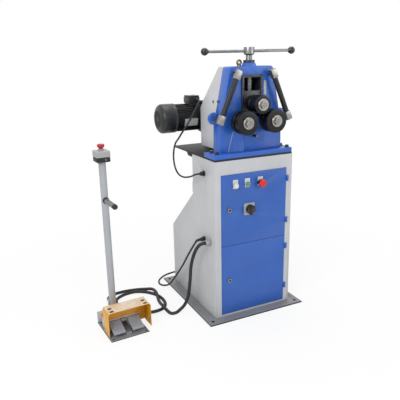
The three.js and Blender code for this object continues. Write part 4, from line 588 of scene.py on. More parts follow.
def rounded_copy(node_name, name, finish, edge, steps=2):
    """A merged copy of a solid whose edges are rounded; it stands for that solid."""
    bm = bmesh.new()
    bm.from_mesh(nodes[node_name].data)
    bmesh.ops.remove_doubles(bm, verts=bm.verts, dist=2e-6)
    bmesh.ops.dissolve_limit(bm, angle_limit=math.radians(0.5), verts=bm.verts, edges=bm.edges)
    mesh = bpy.data.meshes.new(name)
    bm.to_mesh(mesh)
    bm.free()
    put(mesh, name, finish, body_of_node[node_name], edge, steps, stands_for=(node_name,))


# Repeats made by geometry nodes

def new_tree(name, **inputs):
    """An empty geometry tree with inputs named as given, each with its kind of socket."""
    tree = bpy.data.node_groups.new(name, "GeometryNodeTree")
    face = tree.interface
    for label, kind in {"Geometry": "Geometry", **inputs, "Material": "Material"}.items():
        face.new_socket(name=label, in_out="INPUT", socket_type="NodeSocket" + kind)
    face.new_socket(name="Geometry", in_out="OUTPUT", socket_type="NodeSocketGeometry")
    return tree, tree.nodes.new("NodeGroupInput").outputs, tree.nodes.new("NodeGroupOutput")


def close_tree(tree, given, end, geometry):
    """Ends a tree in real geometry with its material."""
    real = add_node(tree, "GeometryNodeRealizeInstances", {"Geometry": geometry}).outputs["Geometry"]
    inputs = {"Geometry": real, "Material": given["Material"]}
    painted = add_node(tree, "GeometryNodeSetMaterial", inputs)
    tree.links.new(painted.outputs["Geometry"], end.inputs["Geometry"])
    return tree


def ring_tree():
    """Copies of one shape round a circle in the XY plane, each turned to face outwards."""
    tree, given, end = new_tree("copies_round_a_circle", Count="Int", Radius="Float", First_Angle="Float")
    index = add_node(tree, "GeometryNodeInputIndex").outputs["Index"]
    step = maths(tree, "DIVIDE", 2 * math.pi, given["Count"])
    angle = maths(tree, "MULTIPLY_ADD", index, step, given["First_Angle"])
    turn = add_node(tree, "ShaderNodeCombineXYZ", {"Z": angle}).outputs["Vector"]
    reach = add_node(tree, "ShaderNodeCombineXYZ", {"X": given["Radius"]}).outputs["Vector"]
    inputs = {"Vector": reach, "Rotation": turn}
    place = add_node(tree, "ShaderNodeVectorRotate", inputs, rotation_type="EULER_XYZ").outputs["Vector"]
    inputs = {"Count": given["Count"], "Position": place}
    points = add_node(tree, "GeometryNodePoints", inputs).outputs["Geometry"]
    inputs = {"Points": points, "Instance": given["Geometry"], "Rotation": turn}
    copies = add_node(tree, "GeometryNodeInstanceOnPoints", inputs).outputs["Instances"]
    return close_tree(tree, given, end, copies)


def row_tree():
    """Copies of one shape in a straight row."""
    tree, given, end = new_tree("copies_in_a_row", Count="Int", Step="Vector")
    inputs = {"Count": given["Count"], "Offset": given["Step"]}
    points = add_node(tree, "GeometryNodeMeshLine", inputs, mode="OFFSET").outputs["Mesh"]
    inputs = {"Points": points, "Instance": given["Geometry"]}
    copies = add_node(tree, "GeometryNodeInstanceOnPoints", inputs).outputs["Instances"]
    return close_tree(tree, given, end, copies)


def helix_tree():
    """A thread: a round section swept along a helix."""
    sockets = {"Turns": "Float", "Radius": "Float", "Height": "Float", "Section": "Float"}
    tree, given, end = new_tree("thread_on_a_helix", **sockets)
    inputs = {"Resolution": 28, "Rotations": given["Turns"], "Height": given["Height"]}
    inputs.update({"Start Radius": given["Radius"], "End Radius": given["Radius"]})
    helix = add_node(tree, "GeometryNodeCurveSpiral", inputs).outputs["Curve"]
    inputs = {"Resolution": 6, "Radius": given["Section"]}
    section = add_node(tree, "GeometryNodeCurvePrimitiveCircle", inputs).outputs["Curve"]
    inputs = {"Fill Caps": True, "Curve": helix, "Profile Curve": section}
    swept = add_node(tree, "GeometryNodeCurveToMesh", inputs).outputs["Mesh"]
    return close_tree(tree, given, end, swept)


made_trees = {}
tree_makers = {"ring": ring_tree, "row": row_tree, "helix": helix_tree}


def repeated(kind, mesh, finish, **values):
    """Runs one of the trees on a mesh and returns the plain mesh it makes; lengths in metres."""
    if kind not in made_trees:
        made_trees[kind] = tree_makers[kind]()
    tree = made_trees[kind]
    carrier = in_scene("repeat_carrier", mesh)
    modifier = carrier.modifiers.new("repeat", "NODES")
    modifier.node_group = tree
    values["Material"] = material_named(finish)
    for item in tree.interface.items_tree:
        if item.item_type == "SOCKET" and item.in_out == "INPUT" and item.name in values:
            modifier[item.identifier] = values[item.name]
    made = evaluated_mesh(carrier)
    carrier.modifiers.clear()
    bpy.data.objects.remove(carrier)
    return made


def ring_of(mesh, finish, count, radius, first):
    """Copies of a mesh round a circle of a radius in millimetres."""
    return repeated("ring", mesh, finish, Count=count, Radius=radius * millimetre, First_Angle=first)


def row_of(mesh, finish, count, x=0.0, y=0.0):
    """Copies of a mesh in a row, each a step of x and y millimetres on."""
    return repeated("row", mesh, finish, Count=count, Step=(x * millimetre, y * millimetre, 0.0))


def thread_of(finish, turns, radius, height, section):
    """A thread round Z from the origin up, with sizes in millimetres."""
    lengths = {"Radius": radius * millimetre, "Height": height * millimetre, "Section": section * millimetre}
    return repeated("helix", bpy.data.meshes.new("thread_seed"), finish, Turns=turns, **lengths)


def in_metres(matrix):
    """The same placement, for a mesh in metres."""
    small = matrix.copy()
    small.translation *= millimetre
    return small


def mesh_at(mesh, matrix):
    """Moves a mesh in metres by a placement in millimetres."""
    mesh.transform(in_metres(matrix))
    return mesh


def turned_to(axis, at):
    """The placement that turns a mesh made round Z onto an axis through a point."""
    return Matrix.Translation(at) @ axes_matrix(axis).to_4x4()


def turned_by(degrees, axis, at=(0, 0, 0)):
    """The placement that turns a shape about an axis and then moves it to a point."""
    return Matrix.Translation(at) @ Matrix.Rotation(math.radians(degrees), 4, axis)


# Routes of the cords

def spline_point(points, distance):
    """A point on the smooth curve through some points, evenly weighted by the roots of their spacing."""
    count = len(points)
    place = distance * (count - 1)
    index = min(int(place), count - 2)
    share = place - index
    middle_low = points[index]
    middle_high = points[index + 1]
    low = points[index - 1] if index > 0 else 2 * points[0] - points[1]
    high = points[index + 2] if index + 2 < count else 2 * points[-1] - points[-2]
    steps = []
    for a, b in ((low, middle_low), (middle_low, middle_high), (middle_high, high)):
        steps.append((b - a).length ** 0.5)
    first, second, third = steps
    second = second if second > 1e-4 else 1.0
    first = first if first > 1e-4 else second
    third = third if third > 1e-4 else second
    start_slope = (middle_low - low) / first - (middle_high - low) / (first + second)
    start_slope += (middle_high - middle_low) / second
    end_slope = (middle_high - middle_low) / second - (high - middle_low) / (second + third)
    end_slope += (high - middle_high) / third
    start_slope *= second
    end_slope *= second
    gap = middle_high - middle_low
    square = 3 * gap - 2 * start_slope - end_slope
    cube = -2 * gap + start_slope + end_slope
    return middle_low + start_slope * share + square * share**2 + cube * share**3


def smooth_path(points, steps):
    """Points at equal distances along the smooth curve through a route."""
    points = [Vector(p) for p in points]
    fine = [spline_point(points, i / 1200) for i in range(1201)]
    travelled = [0.0]
    for a, b in zip(fine, fine[1:]):
        travelled.append(travelled[-1] + (b - a).length)
    path = []
    at = 0
    for i in range(steps + 1):
        wanted = travelled[-1] * i / steps
        while at < 1199 and travelled[at + 1] < wanted:
            at += 1
        span = travelled[at + 1] - travelled[at]
        share = (wanted - travelled[at]) / span if span > 0 else 0.0
        path.append(fine[at].lerp(fine[at + 1], min(1.0, max(0.0, share))))
    return path


station_turn = math.radians(3.2)
station_origin = (-654, 48)
pole_at = (-18, 189)
pole_radius = 17
pole_gland_turn = math.radians(-30)
wall_face = -218.8
head_x = 8
head_z = 820.3


def from_station(x, y, z):
    """A point of the pedal station, whose own frame is turned a little, in the whole machine's frame."""
    return (
        station_origin[0] + x * math.cos(station_turn) - y * math.sin(station_turn),
        station_origin[1] + x * math.sin(station_turn) + y * math.cos(station_turn),
        z,
    )


def station_matrix():
    """The placement of the pedal station in the whole machine's frame, in millimetres."""
    place = Matrix.Translation((station_origin[0], station_origin[1], 0))
    return place @ Matrix.Rotation(station_turn, 4, "Z")


def pole_end(rise):
    """The last points of a cable that enters the back of the pole through its gland."""
    x, y = pole_at
    points = []
    for away, drop in ((38, 0.9), (26, 0), (18, 0), (0.3, 0)):
        reach = pole_radius + away
        across = reach * math.sin(pole_gland_turn)
        points.append(from_station(x - across, y + reach * math.cos(pole_gland_turn), rise - drop))
    return points


control_route = [
    (-229.1, 56, 402), (-244.8, 56, 402), (-254.8, 56, 402), (-268, 66, 395), (-275, 112, 345),
    (-285, 143, 260), (-295, 142, 172), (-306, 148, 84), (-322, 164, 30), (-345, 166, 11),
    (-375, 149, 9), (-402, 152, 10), (-417, 182, 21), (-421, 222, 27), (-419, 262, 22), (-412, 308, 20),
    (-402, 352, 27), (-397, 395, 28), (-402, 436, 24), (-424, 474, 12), (-468, 497, 9), (-542, 509, 9),
    (-600, 503, 9), (-640, 478, 9), (-652, 432, 20), (-650, 382, 58), (-650, 330, 99),
    *pole_end(118),
]
estop_route = [
    from_station(86.3, 140, 30),
    from_station(104, 140, 30),
    from_station(112, 140, 30),
    from_station(124, 140, 28),
    (-486, 208, 12), (-450, 213, 9), (-416, 226, 9), (-392, 258, 9), (-382, 315, 9), (-394, 382, 9),
    (-433, 442, 9), (-490, 476, 9), (-556, 470, 9), (-604, 440, 9), (-620, 400, 12), (-630, 358, 30),
    (-642, 320, 60),
    *pole_end(78),
]
motor_route = [
    (head_x - 152, 340.7, head_z + 251.8),
    (head_x - 152, 318, head_z + 251.8),
    (head_x - 152, 310, head_z + 251.8),
    (-147, 301, 1066), (-170, 284, 1038), (-205, 270, 992), (-238, 262, 952), (-257, 270, 922),
    (-262, 306, 888), (-260, 358, 852), (-260, 383, 806), (-261, 384, 764), (-262, 366, 726),
    (-262, 326, 699), (-260, 267, 694), (-257, 197, 709), (-262, 143, 727), (-261, 116, 738),
    (-249.8, 109, 740), (-241.8, 109, 740), (-218.8, 109, 740),
]
mains_route_start = [
    (-218.8, 117, 400), (-241.8, 117, 400), (-249.8, 117, 400), (-259, 127, 392), (-260, 152, 366),
    (-263, 203, 308), (-268, 300, 190), (-275, 386, 94), (-281, 440, 36), (-287, 464, 14),
    (-299, 478, 5.5), (-315, 487, 5.5), (-324, 508, 5.5), (-319, 540, 5.5), (-296, 576, 5.5),
    (-244, 612, 5.5), (-170, 628, 5.5), (-100, 624, 5.5),
]
coil_turns = 5.7
coil_steps = 24
cable_steps = 150


def coil_point(turn):
    """A point of the mains lead's coil, which winds in on the floor and out again one layer up."""
    away = turn - coil_turns / 2
    radius = 46 + 10.7 * abs(away)
    climb = min(1.0, max(0.0, away / 0.5 + 0.5))
    angle = math.radians(250) + 2 * math.pi * turn
    return Vector((10 + radius * math.cos(angle), 700 + radius * math.sin(angle), 5.3 + 10.7 * climb))


def coil_points(per_turn):
    count = round(coil_turns * per_turn)
    winding = [coil_point(coil_turns * i / count) for i in range(count + 1)]
    lead = winding[0] - winding[1]
    tail = winding[-1] - winding[-2]
    lead.z = 0
    tail.z = 0
    return [winding[0] + lead.normalized() * 10, *winding, winding[-1] + tail.normalized() * 10]


def mains_path(per_turn, lead_steps):
    """The whole mains lead: from its gland down to the floor, round its coil and to its plug."""
    coil = coil_points(per_turn)
    inwards = coil[0] - coil[1]
    inwards.z = 0
    inwards.normalize()
    route = [*mains_route_start, coil[0] + inwards * 20, coil[0] + inwards * 0.3]
    return smooth_path(route, lead_steps)[:-1] + coil


def plug_frame():
    """Where the mains plug's neck starts, and a matrix that turns +Y along the lead's end."""
    coil = coil_points(coil_steps)
    along = coil[-1] - coil[-2]
    along.z = 0
    along.normalize()
    across = along.cross(Vector((0, 0, 1)))
    turn = Matrix((across, along, Vector((0, 0, 1)))).transposed().to_4x4()
    return Matrix.Translation(coil[-1] + along * 0.3) @ turn


def lay_cable(name, path, diameter, solids):
    """A round cable along a path; it stands for its solids."""
    shape = Shape().tube(path, diameter / millimetre / 2, 20)
    cable = place_shape(shape, name, "rubber", smooth=60, stands_for=solids)
    return cable


# Camera, floor and lights

def make_camera():
    """Looks at the machine from its front left, a little from above."""
    data = bpy.data.cameras.new("photo_camera")
    data.sensor_width = 36.0
    data.lens = 44.514
    data.clip_start = 0.05
    data.clip_end = 60.0
    camera = in_scene("photo_camera", data)
    yaw, pitch, roll = (math.radians(degrees) for degrees in (25.58, 16.24, -1.19))
    level = math.cos(pitch)
    forward = Vector((math.sin(yaw) * level, math.cos(yaw) * level, -math.sin(pitch)))
    level_right = Vector((math.cos(yaw), -math.sin(yaw), 0))
    level_up = level_right.cross(forward)
    right = level_right * math.cos(roll) + level_up * math.sin(roll)
    up = level_up * math.cos(roll) - level_right * math.sin(roll)
    turn = Matrix((right, up, -forward)).transposed().to_4x4()
    camera.matrix_world = Matrix.Translation((-1.2477, -1.9879, 1.2862)) @ turn
    bpy.context.scene.camera = camera


def floor_finish():
    """A white studio sweep that keeps a soft trace of the shadow."""
    material, tree, surface, place = start_material("studio_floor_paper", Roughness=0.9)
    tree.nodes.remove(surface)
    output = next(n for n in tree.nodes if n.type == "OUTPUT_MATERIAL")
    paper = add_node(tree, "ShaderNodeBsdfDiffuse", {"Color": (*colours().floor_white, 1.0)})
    glow = add_node(tree, "ShaderNodeEmission", {"Color": (1, 1, 1, 1), "Strength": 1.0})
    rays = add_node(tree, "ShaderNodeLightPath")
    inputs = {0: place, 1: (-0.15, 0.25, 0.0)}
    away = add_node(tree, "ShaderNodeVectorMath", inputs, operation="DISTANCE").outputs["Value"]
    share = maths(tree, "MULTIPLY", rays.outputs["Is Camera Ray"], spread(tree, away, 0.7, 1.7, 0.82, 1.0))
    inputs = {0: share, 1: paper.outputs["BSDF"], 2: glow.outputs["Emission"]}
    seen = add_node(tree, "ShaderNodeMixShader", inputs)
    tree.links.new(seen.outputs["Shader"], output.inputs["Surface"])
    return material


def make_world():
    """White to the camera and in reflections, dimmer as a light."""
    world = bpy.data.worlds.new("studio_surround")
    bpy.context.scene.world = world
    world.use_nodes = True
    tree = world.node_tree
    tree.nodes.clear()
    rays = add_node(tree, "ShaderNodeLightPath").outputs
    either = maths(tree, "MAXIMUM", rays["Is Glossy Ray"], rays["Is Transmission Ray"])
    direct = maths(tree, "MAXIMUM", rays["Is Camera Ray"], either)
    dim = add_node(tree, "ShaderNodeBackground", {"Color": (1, 1, 1, 1), "Strength": 0.55})
    white = add_node(tree, "ShaderNodeBackground", {"Color": (1, 1, 1, 1), "Strength": 1.0})
    inputs = {0: direct, 1: dim.outputs["Background"], 2: white.outputs["Background"]}
    seen = add_node(tree, "ShaderNodeMixShader", inputs)
    add_node(tree, "ShaderNodeOutputWorld", {"Surface": seen.outputs["Shader"]})


def make_lamp(name, place, side, power):
    """A square softbox that faces the middle of the machine."""
    data = bpy.data.lights.new(name, "AREA")
    data.shape = "RECTANGLE"
    data.size = side
    data.size_y = side
    data.energy = power
    lamp = in_scene(name, data)
    lamp.location = place
    aim = Vector((-0.15, 0.2, 0.7)) - Vector(place)
    lamp.rotation_euler = aim.to_track_quat("-Z", "Y").to_euler()


def make_stage():
    floor_mesh = bpy.data.meshes.new("studio_floor")
    reach = 14.0
    corners = [(-reach, -reach, 0), (reach, -reach, 0), (reach, reach, 0), (-reach, reach, 0)]
    floor_mesh.from_pydata(corners, [], [(0, 1, 2, 3)])
    floor = in_scene("studio_floor", floor_mesh)
    floor_mesh.materials.append(floor_finish())
    make_world()
    make_lamp("key_softbox", (-3.0, -1.9, 2.8), 1.8, 56)
    make_lamp("fill_softbox", (2.4, -2.8, 1.9), 2.0, 28)
    make_lamp("top_softbox", (0.0, 0.6, 3.4), 2.2, 30)
    bpy.context.scene.view_settings.view_transform = "Standard"


# Shared profiles and placing

def rounded_profile(radius, low, high, edge, steps=3):
    """A closed round bar's profile with rounded rims."""
    profile = [(0, low)]
    for i in range(steps + 1):
        angle = math.pi / 2 * i / steps
        profile.append((radius - edge + edge * math.sin(angle), low + edge - edge * math.cos(angle)))
    for i in range(steps + 1):
        angle = math.pi / 2 * i / steps
        profile.append((radius - edge + edge * math.cos(angle), high - edge + edge * math.sin(angle)))
    return profile + [(0, high)]


def hexagon(shape, flats, low, high, axis="z", centre=(0, 0, 0)):
    """A hexagon head with its corners chamfered at the high end."""
    outer = flats / math.sqrt(3)
    cut = outer * 0.1
    profile = [(0, low), (outer, low), (outer, high - cut * 0.58), (outer - cut, high), (0, high)]
    return shape.turned(profile, axis, centre, 6)


def socket_screw(shape, radius, low, high, axis="z", centre=(0, 0, 0)):
    """A round screw head whose high end has a hexagon socket."""
    depth = (high - low) * 0.55
    socket = radius * 0.5
    profile = [(0, low), (radius, low), (radius, high - radius * 0.15), (radius * 0.88, high)]
    profile += [(socket, high), (socket, high - depth), (0, high - depth)]
    return shape.turned(profile, axis, centre, 24)


def on_head(shape, name, finish, body=fixed_body, **options):
    """Places a shape made in the bending head's own millimetres."""
    return place_shape(shape.moved(Matrix.Translation((head_x, 0, head_z))), name, finish, body, **options)


def on_station(shape, name, finish, body=fixed_body, **options):
    """Places a shape made in the pedal station's own millimetres."""
    return place_shape(shape.moved(station_matrix()), name, finish, body, **options)


# Cabinet, doors and controls

hinge_axis = (189.5, -5.5)
hinge_half = 14.2
hinge_heights = {"upper_door_set": (690, 472), "lower_door_leaf": (328, 104)}
lock_centres = {"upper": 570, "lower": 201}
lock_x = -141.5
control_z = 688
lamp_x, start_x, stop_x = -108, -42, 31
switch_x, switch_z = -32, 563
base_half = 274
base_front, base_back = -50, 572
rail_face = 211.7


def build_cabinet():
    edge = sizes().sheet_edge
    rounded_copy("base_plate", "floor_plate", "station", edge)
    rounded_copy("cabinet_shell", "cabinet_housing", "cabinet", edge)
    rounded_copy("table_plate", "table_top", "table", edge)
    # A thin black band round the foot of the floor plate: painted contact shadow along its bottom edge.
    strip = Shape()
    outer = base_half + 0.5
    strip.block(-outer, -base_half, base_front, base_back, 0.2, 7)
    strip.block(base_half, outer, base_front, base_back, 0.2, 7)
    strip.block(-outer, outer, base_front - 0.5, base_front, 0.2, 7)
    strip.block(-outer, outer, base_back, base_back + 0.5, 0.2, 7)
    place_shape(strip, "floor_plate_painted_shadow_strip", "rubber")
    anchors = Shape()
    for x in (-247, 247):
        for y in (-21, 545):
            socket_screw(anchors, 7.6, 1, 9.5, centre=(x, y, 0))
    place_shape(anchors, "floor_anchor_screws", "knob", smooth=30)
    leaves = Shape()
    for z in (height for heights in hinge_heights.values() for height in heights):
        leaves.block(hinge_axis[0], hinge_axis[0] + 9.2, -3.6, -0.2, z - hinge_half, z + hinge_half)
    place_shape(leaves, "cabinet_hinge_leaves", "door", edge=0.0006)
    rail = Shape().block(-217.5, -186, 242.7, 251.6, 613, 667)
    place_shape(rail, "rear_rail_end", "cabinet", edge=0.0008)


def build_switchgear():
    """The panel behind the upper door: contactors, a breaker row and terminals with their screws."""
    rounded_copy("electrics_panel", "switchgear_panel", "switchgear", sizes().moulded_edge)
    profile = [(0, 0), (2.6, 0), (2.6, -1.2), (2.0, -1.8), (0, -1.8)]
    screw = Shape().turned(profile, "y", sides=16).to_mesh("screw_head")
    for name, step, count, x, depth, z in (
        ("terminal_screws_high", 8, 20, -76, 42, 525),
        ("terminal_screws_low", 8, 20, -76, 42, 501),
        ("contactor_screws_high", 20, 8, -143, 70, 648),
        ("contactor_screws_low", 20, 8, -143, 70, 588),
    ):
        row = row_of(screw, "zinc", count, x=step)
        put(mesh_at(row, turned_to("z", (x, rail_face - depth, z))), name, "zinc")
    faces = Shape()
    for x in (-123, -63, -3):
        faces.block(x - 16, x + 16, rail_face - 72.5, rail_face - 69.8, 604, 632)
    for x in (58, 76, 94, 112):
        faces.block(x - 4, x + 4, rail_face - 64, rail_face - 57.8, 610, 624)
    place_shape(faces, "contactor_faces", "knob", edge=0.0006)


def build_doors():
    for node, body in (("upper_door", "upper_door_set"), ("lower_door", "lower_door_leaf")):
        rounded_copy(node, node + "_panel", "door", sizes().sheet_edge)
        barrels = Shape()
        for z in hinge_heights[body]:
            profile = rounded_profile(5.3, z - hinge_half, z + hinge_half, 0.8, 2)
            barrels.turned(profile, "z", (*hinge_axis, 0), 24)
        place_shape(barrels, node + "_hinge_barrels", "door", body)
    for name, z in lock_centres.items():
        body = name + "_door_lock"
        centre = (lock_x, 0, z)
        rounded_copy(name + "_lock", name + "_lock_cylinder", "zinc", 0.0004)
        profile = [(11.2, -2.3), (11.2, -6.2), (10.2, -7.5), (7.6, -7.9), (6.8, -7.5), (6.8, -2.3)]
        ring = Shape().turned(profile, "y", centre, 40, True)
        place_shape(ring, name + "_lock_rim", "bar", body)
        face = Shape().rod(6.7, -2.4, -7.35, "y", centre, 32)
        place_shape(face, name + "_lock_keyway", "knob", body)


def build_controls():
    """Lamp, start, stop and the main switch on the upper door, with blank legend plates."""
    door = "upper_door_set"
    plates = Shape()
    for x in (lamp_x, start_x, stop_x):
        plates.block(x - 14, x + 14, -3.1, -2.05, control_z - 14, control_z + 29)
    place_shape(plates, "legend_plates", "legend", door, edge=0.0003)
    bezel = [(11.6, -2.4), (14.5, -2.4), (14.5, -6.6), (13.4, -8.2), (11.9, -8.3), (11.6, -7.8)]
    place_shape(Shape().turned(bezel, "y", (lamp_x, 0, control_z), 40, True), "lamp_bezel", "box", door)
    rounded_copy("pilot_lamp", "lamp_body", "lamp", 0.0004)
    dome = [(0, -3), (11.4, -3), (11.4, -10.4), (10.6, -12.6), (8.2, -14.2), (4.4, -15.0), (0, -15.25)]
    place_shape(Shape().turned(dome, "y", (lamp_x, 0, control_z), 40), "lamp_lens", "lamp", door)
    rounded_copy("start_button_body", "start_body", "box", 0.0004)
    place_shape(Shape().turned(bezel, "y", (start_x, 0, control_z), 40, True), "start_bezel", "box", door)
    rounded_copy("start_button", "start_plunger_cap", "green", 0.0006)
    rounded_copy("stop_button_body", "stop_body", "knob", 0.0004)
    rounded_copy("stop_button", "stop_stem", "red", 0.0004)
    cap = [(0, -22.3), (17, -22.3), (19.2, -23.0), (20.1, -24.6), (20.1, -26.6), (19, -28.8)]
    cap += [(16, -30.4), (11, -31.2), (5, -31.5), (0, -31.6)]
    mushroom = Shape().turned(cap, "y", (stop_x, 0, control_z), 48)
    place_shape(mushroom, "stop_mushroom_cap", "red", "stop_mushroom")
    rounded_copy("main_switch_body", "switch_body", "box", 0.0006)
    # The padlock hole is a black disc on the switch body: painted shade, not a cut hole.
    hole = Shape().rod(2.8, -7.6, -6.8, "y", (switch_x - 24, 0, switch_z - 14), 24)
    place_shape(hole, "switch_padlock_hole_shade", "knob", door)
    rounded_copy("main_switch_knob", "switch_knob_grip", "knob", 0.0008)


# Fittings on the left wall

def build_side_fittings():
    """Cable glands, each a hexagon on the wall and a domed nut, and the conduit's adaptor."""
    dome = [(4.8, 7), (10.1, 7), (10.1, 18), (9.2, 21), (7.2, 22.9), (5.2, 23), (4.8, 22.4)]
    for node, y, z in (("motor_cable_gland", 109, 740), ("mains_gland", 117, 400)):
        rounded_copy(node, node + "_core", "nylon", 0.0003)
        nut = Shape()
        nut.turned([(0, 0), (13.7, 0), (13.9, 0.5), (13.9, 6.4), (13.4, 7), (0, 7)], sides=6)
        nut.turned(dome, ring=True)
        place_shape(nut.moved(turned_by(-90, "Y", (wall_face, y, z))), node + "_nut", "nylon")
    rounded_copy("conduit_fitting", "conduit_adaptor", "zinc", sizes().machined_edge)
    profile = [(12.2, -9), (14.3, -9), (14.3, -11), (13.6, -11.6), (14.3, -12.2), (14.3, -24.6)]
    profile += [(13.4, -26.3), (12.2, -26.3)]
    collar = Shape().turned(profile, ring=True)
    place_shape(collar.moved(turned_by(90, "Y", (wall_face, 56, 402))), "conduit_sleeve", "zinc")


# Bending head

casting_front = 46
casting_foot = 22.5
flange_top = 22
cast_knee = (168, 140)
cast_lean = (168 - 114) / (416 - 140)


def side_screw(shape, x, y, z, radius, proud):
    """A socket screw on a left-hand face."""
    screw = socket_screw(Shape(), radius, -2, proud)
    shape.joined(screw.moved(turned_by(-90, "Y", (x, y, z))))


def build_casting():
    rounded_copy("head_casting", "bending_head", "casting", sizes().casting_edge, 3)
    foot = casting_foot
    low, high = casting_front - 2.4, casting_front + 1.5
    pads = Shape()
    pads.prism([(-168, foot), (-131, foot), (-104, 118), (-110, 150), (-166, 150)], "y", low, high)
    hollow = [(69, 101), (73, 66), (88, 49), (125, 37.5), (168, 34), (168, foot)]
    pads.prism([(-41, foot), (-41, 128), (69, 128), *hollow], "y", low, high)
    on_head(pads, "casting_front_pads", "casting", edge=0.0016, steps=3)
    # The diagonal ridge carries the paler enamel: a painted highlight along its edge.
    ridge = Shape()
    ridge.prism([(-131.5, foot), (-104.5, 118), (-100.5, 118), (-127.5, foot)], "y", low - 1.2, high)
    on_head(ridge, "casting_diagonal_ridge", "highlightedge", edge=0.0014, steps=3)
    peg = Shape().turned(rounded_profile(7, 15, casting_front - 0.3, 0.8), "y", (12.5, 0, 92), 32)
    on_head(peg, "casting_stop_peg", "knob")
    on_head(Shape().rod(5, 14.4, 15.2, "y", (12.5, 0, 92), 24), "casting_stop_peg_tip", "bar")
    bolts = Shape()
    washer_top = flange_top + 2.2
    for x in (-198, 196):
        for y in (28, 84):
            bolts.rod(12, flange_top - 0.2, washer_top, "z", (x, y, 0), 32, 0.5)
            hexagon(bolts, 17, washer_top, flange_top + 11, centre=(x, y, 0))
    on_head(bolts, "flange_bolts", "knob", smooth=30)
    scale = Shape().block(66, 80, casting_front - 1.2, casting_front + 0.5, 283, 348)
    on_head(scale, "travel_scale_strip", "nameplate")
    screws = Shape()
    rise = 258
    side_screw(screws, -(cast_knee[0] - (rise - cast_knee[1]) * cast_lean), 110, rise, 6.5, 6)
    on_head(screws, "casting_side_screws", "bar", smooth=30)


def build_guide_and_slide():
    edge = sizes().machined_edge
    rounded_copy("guide_frame", "window_frame", "milled", edge)
    rounded_copy("slide_block", "roll_slide_block", "milled", edge)
    screws = Shape()
    profile = [(0, 39.7), (3.6, 39.7), (3.6, 38.6), (3.1, 38.1), (0, 38.1)]
    for x in (-50.5, 50.5):
        for z in (212, 250, 318, 364):
            screws.turned(profile, "y", (x, 0, z), 20)
    on_head(screws, "window_frame_screws", "knob")
    # Near-black sheets at the back and sides of the window: painted shade inside the recess.
    sill, lintel = 182, 364.8
    back = Shape().block(-44.2, 44.2, 113, 117.5, sill, lintel)
    on_head(back, "window_recess_painted_shade", "painted_shade")
    side_shade_sheets = Shape()
    for x in (-44.25, 44.25):
        side_shade_sheets.block(x - 0.2, x + 0.2, 46.4, 112.6, sill, lintel)
    on_head(side_shade_sheets, "window_side_painted_shade", "painted_shade")


def build_rear_cover():
    rounded_copy("rear_cover", "gear_cover", "cover", sizes().sheet_edge)
    screws = Shape()
    rise = 253
    share = (rise - 214) / (414 - 214)
    side_screw(screws, -(152 - (152 - 113) * share), 160, rise, 7, 3.5)
    side_screw(screws, -152, 140, 60, 6, 3)
    on_head(screws, "gear_cover_screws", "bar", smooth=30)


def build_lifting_eye():
    """A forged eye bolt in yellow zinc, on a round foot."""
    eye = Shape()
    circle = [(10 + 5 * math.cos(a * math.pi / 10), 5 * math.sin(a * math.pi / 10)) for a in range(20)]
    eye.turned(circle, "y", (-35, 106, 432.8), 40, True)
    foot = [(0, 416.3), (11, 416.3), (11, 419.2), (8.6, 421.4), (6, 424.4), (0, 425)]
    eye.turned(foot, "z", (-35, 106, 0), 32)
    on_head(eye, "lifting_eye_bolt", "brass", smooth=50, stands_for=["lifting_eye"])


# Feed screw and its handle

spindle_y = 74
screw_low = 288
hub_low, hub_high = 466.3, 501.3
bar_height = 483.8
bar_half = 212.9
ball_radius = 17.5
neck_radius = 8.6


def build_feed_screw():
    """The screw with its handle, which stands nine degrees off square about the screw's axis."""
    body = "feed_screw"
    handle = turned_by(-9, "Z", (head_x, spindle_y, head_z))
    core = Shape().turned(rounded_profile(14.6, 285.2, hub_low + 4, 0.6, 2)).moved(handle)
    place_shape(core, "feed_screw_core", "turned", body, stands_for=["spindle"])
    height = hub_low - screw_low
    thread = thread_of("turned", height * millimetre / sizes().thread_pitch, 14.7, height, 1.25)
    place = handle @ Matrix.Translation((0, 0, screw_low))
    put(mesh_at(thread, place), "feed_screw_thread", "turned", body, smooth=60)
    profile = [(0, hub_low), (20.5, hub_low), (25.3, hub_low + 4.6), (25.4, hub_high - 2.2)]
    profile += [(24.9, hub_high - 0.7), (23.2, hub_high), (9, hub_high), (7.5, hub_high - 1.6)]
    hub = Shape().turned([*profile, (0, hub_high - 1.6)], sides=64).moved(handle)
    place_shape(hub, "handle_hub", "turned", body, smooth=30, stands_for=["spindle"])
    bar = Shape().turned(rounded_profile(7, -bar_half, bar_half, 0.8), "x", (0, 0, bar_height), 40)
    place_shape(bar.moved(handle), "handle_crossbar", "bar", body, stands_for=["handle_bar"])
    sweep = math.pi - math.asin(neck_radius / ball_radius)
    angles = [sweep - sweep * i / 24 for i in range(1, 25)]
    profile = [(0, -15.4), (neck_radius, -17.4)]
    profile += [(ball_radius * math.sin(a), ball_radius * math.cos(a)) for a in angles]
    for name, turn, x in (("left", 180, -217), ("right", 0, 217)):
        ball = Shape().turned(profile, "x").moved(handle @ turned_by(turn, "Z", (x, 0, bar_height)))
        place_shape(ball, "handle_ball_" + name, "knob", body, stands_for=["ball_knob_" + name])
    nut = Shape()
    profile = [(16.3, 431.4), (25.4, 431.4), (26.9, 432.9), (26.9, 442.2)]
    profile += [(25.6, 443.7), (16.9, 443.7), (16.3, 443)]
    nut.turned(profile, "z", (0, spindle_y, 0), 64, True)
    profile = [(16.3, 366.2), (20.9, 366.2), (20.9, 431.4), (16.3, 431.4)]
    nut.turned(profile, "z", (0, spindle_y, 0), 48, True)
    on_head(nut, "feed_nut", "milled", smooth=30, stands_for=["spindle_nut"])
    profile = [(0, 0), (3, 0), (3, 1.0), (1.6, 1.0), (1.6, -0.5), (0, -0.5)]
    grub = Shape().turned(profile, "y", sides=20)
    on_head(grub.moved(turned_by(180, "Z", (0, spindle_y - 26.8, 437.5))), "feed_nut_set_screw", "knob")


# Rolls and their drive

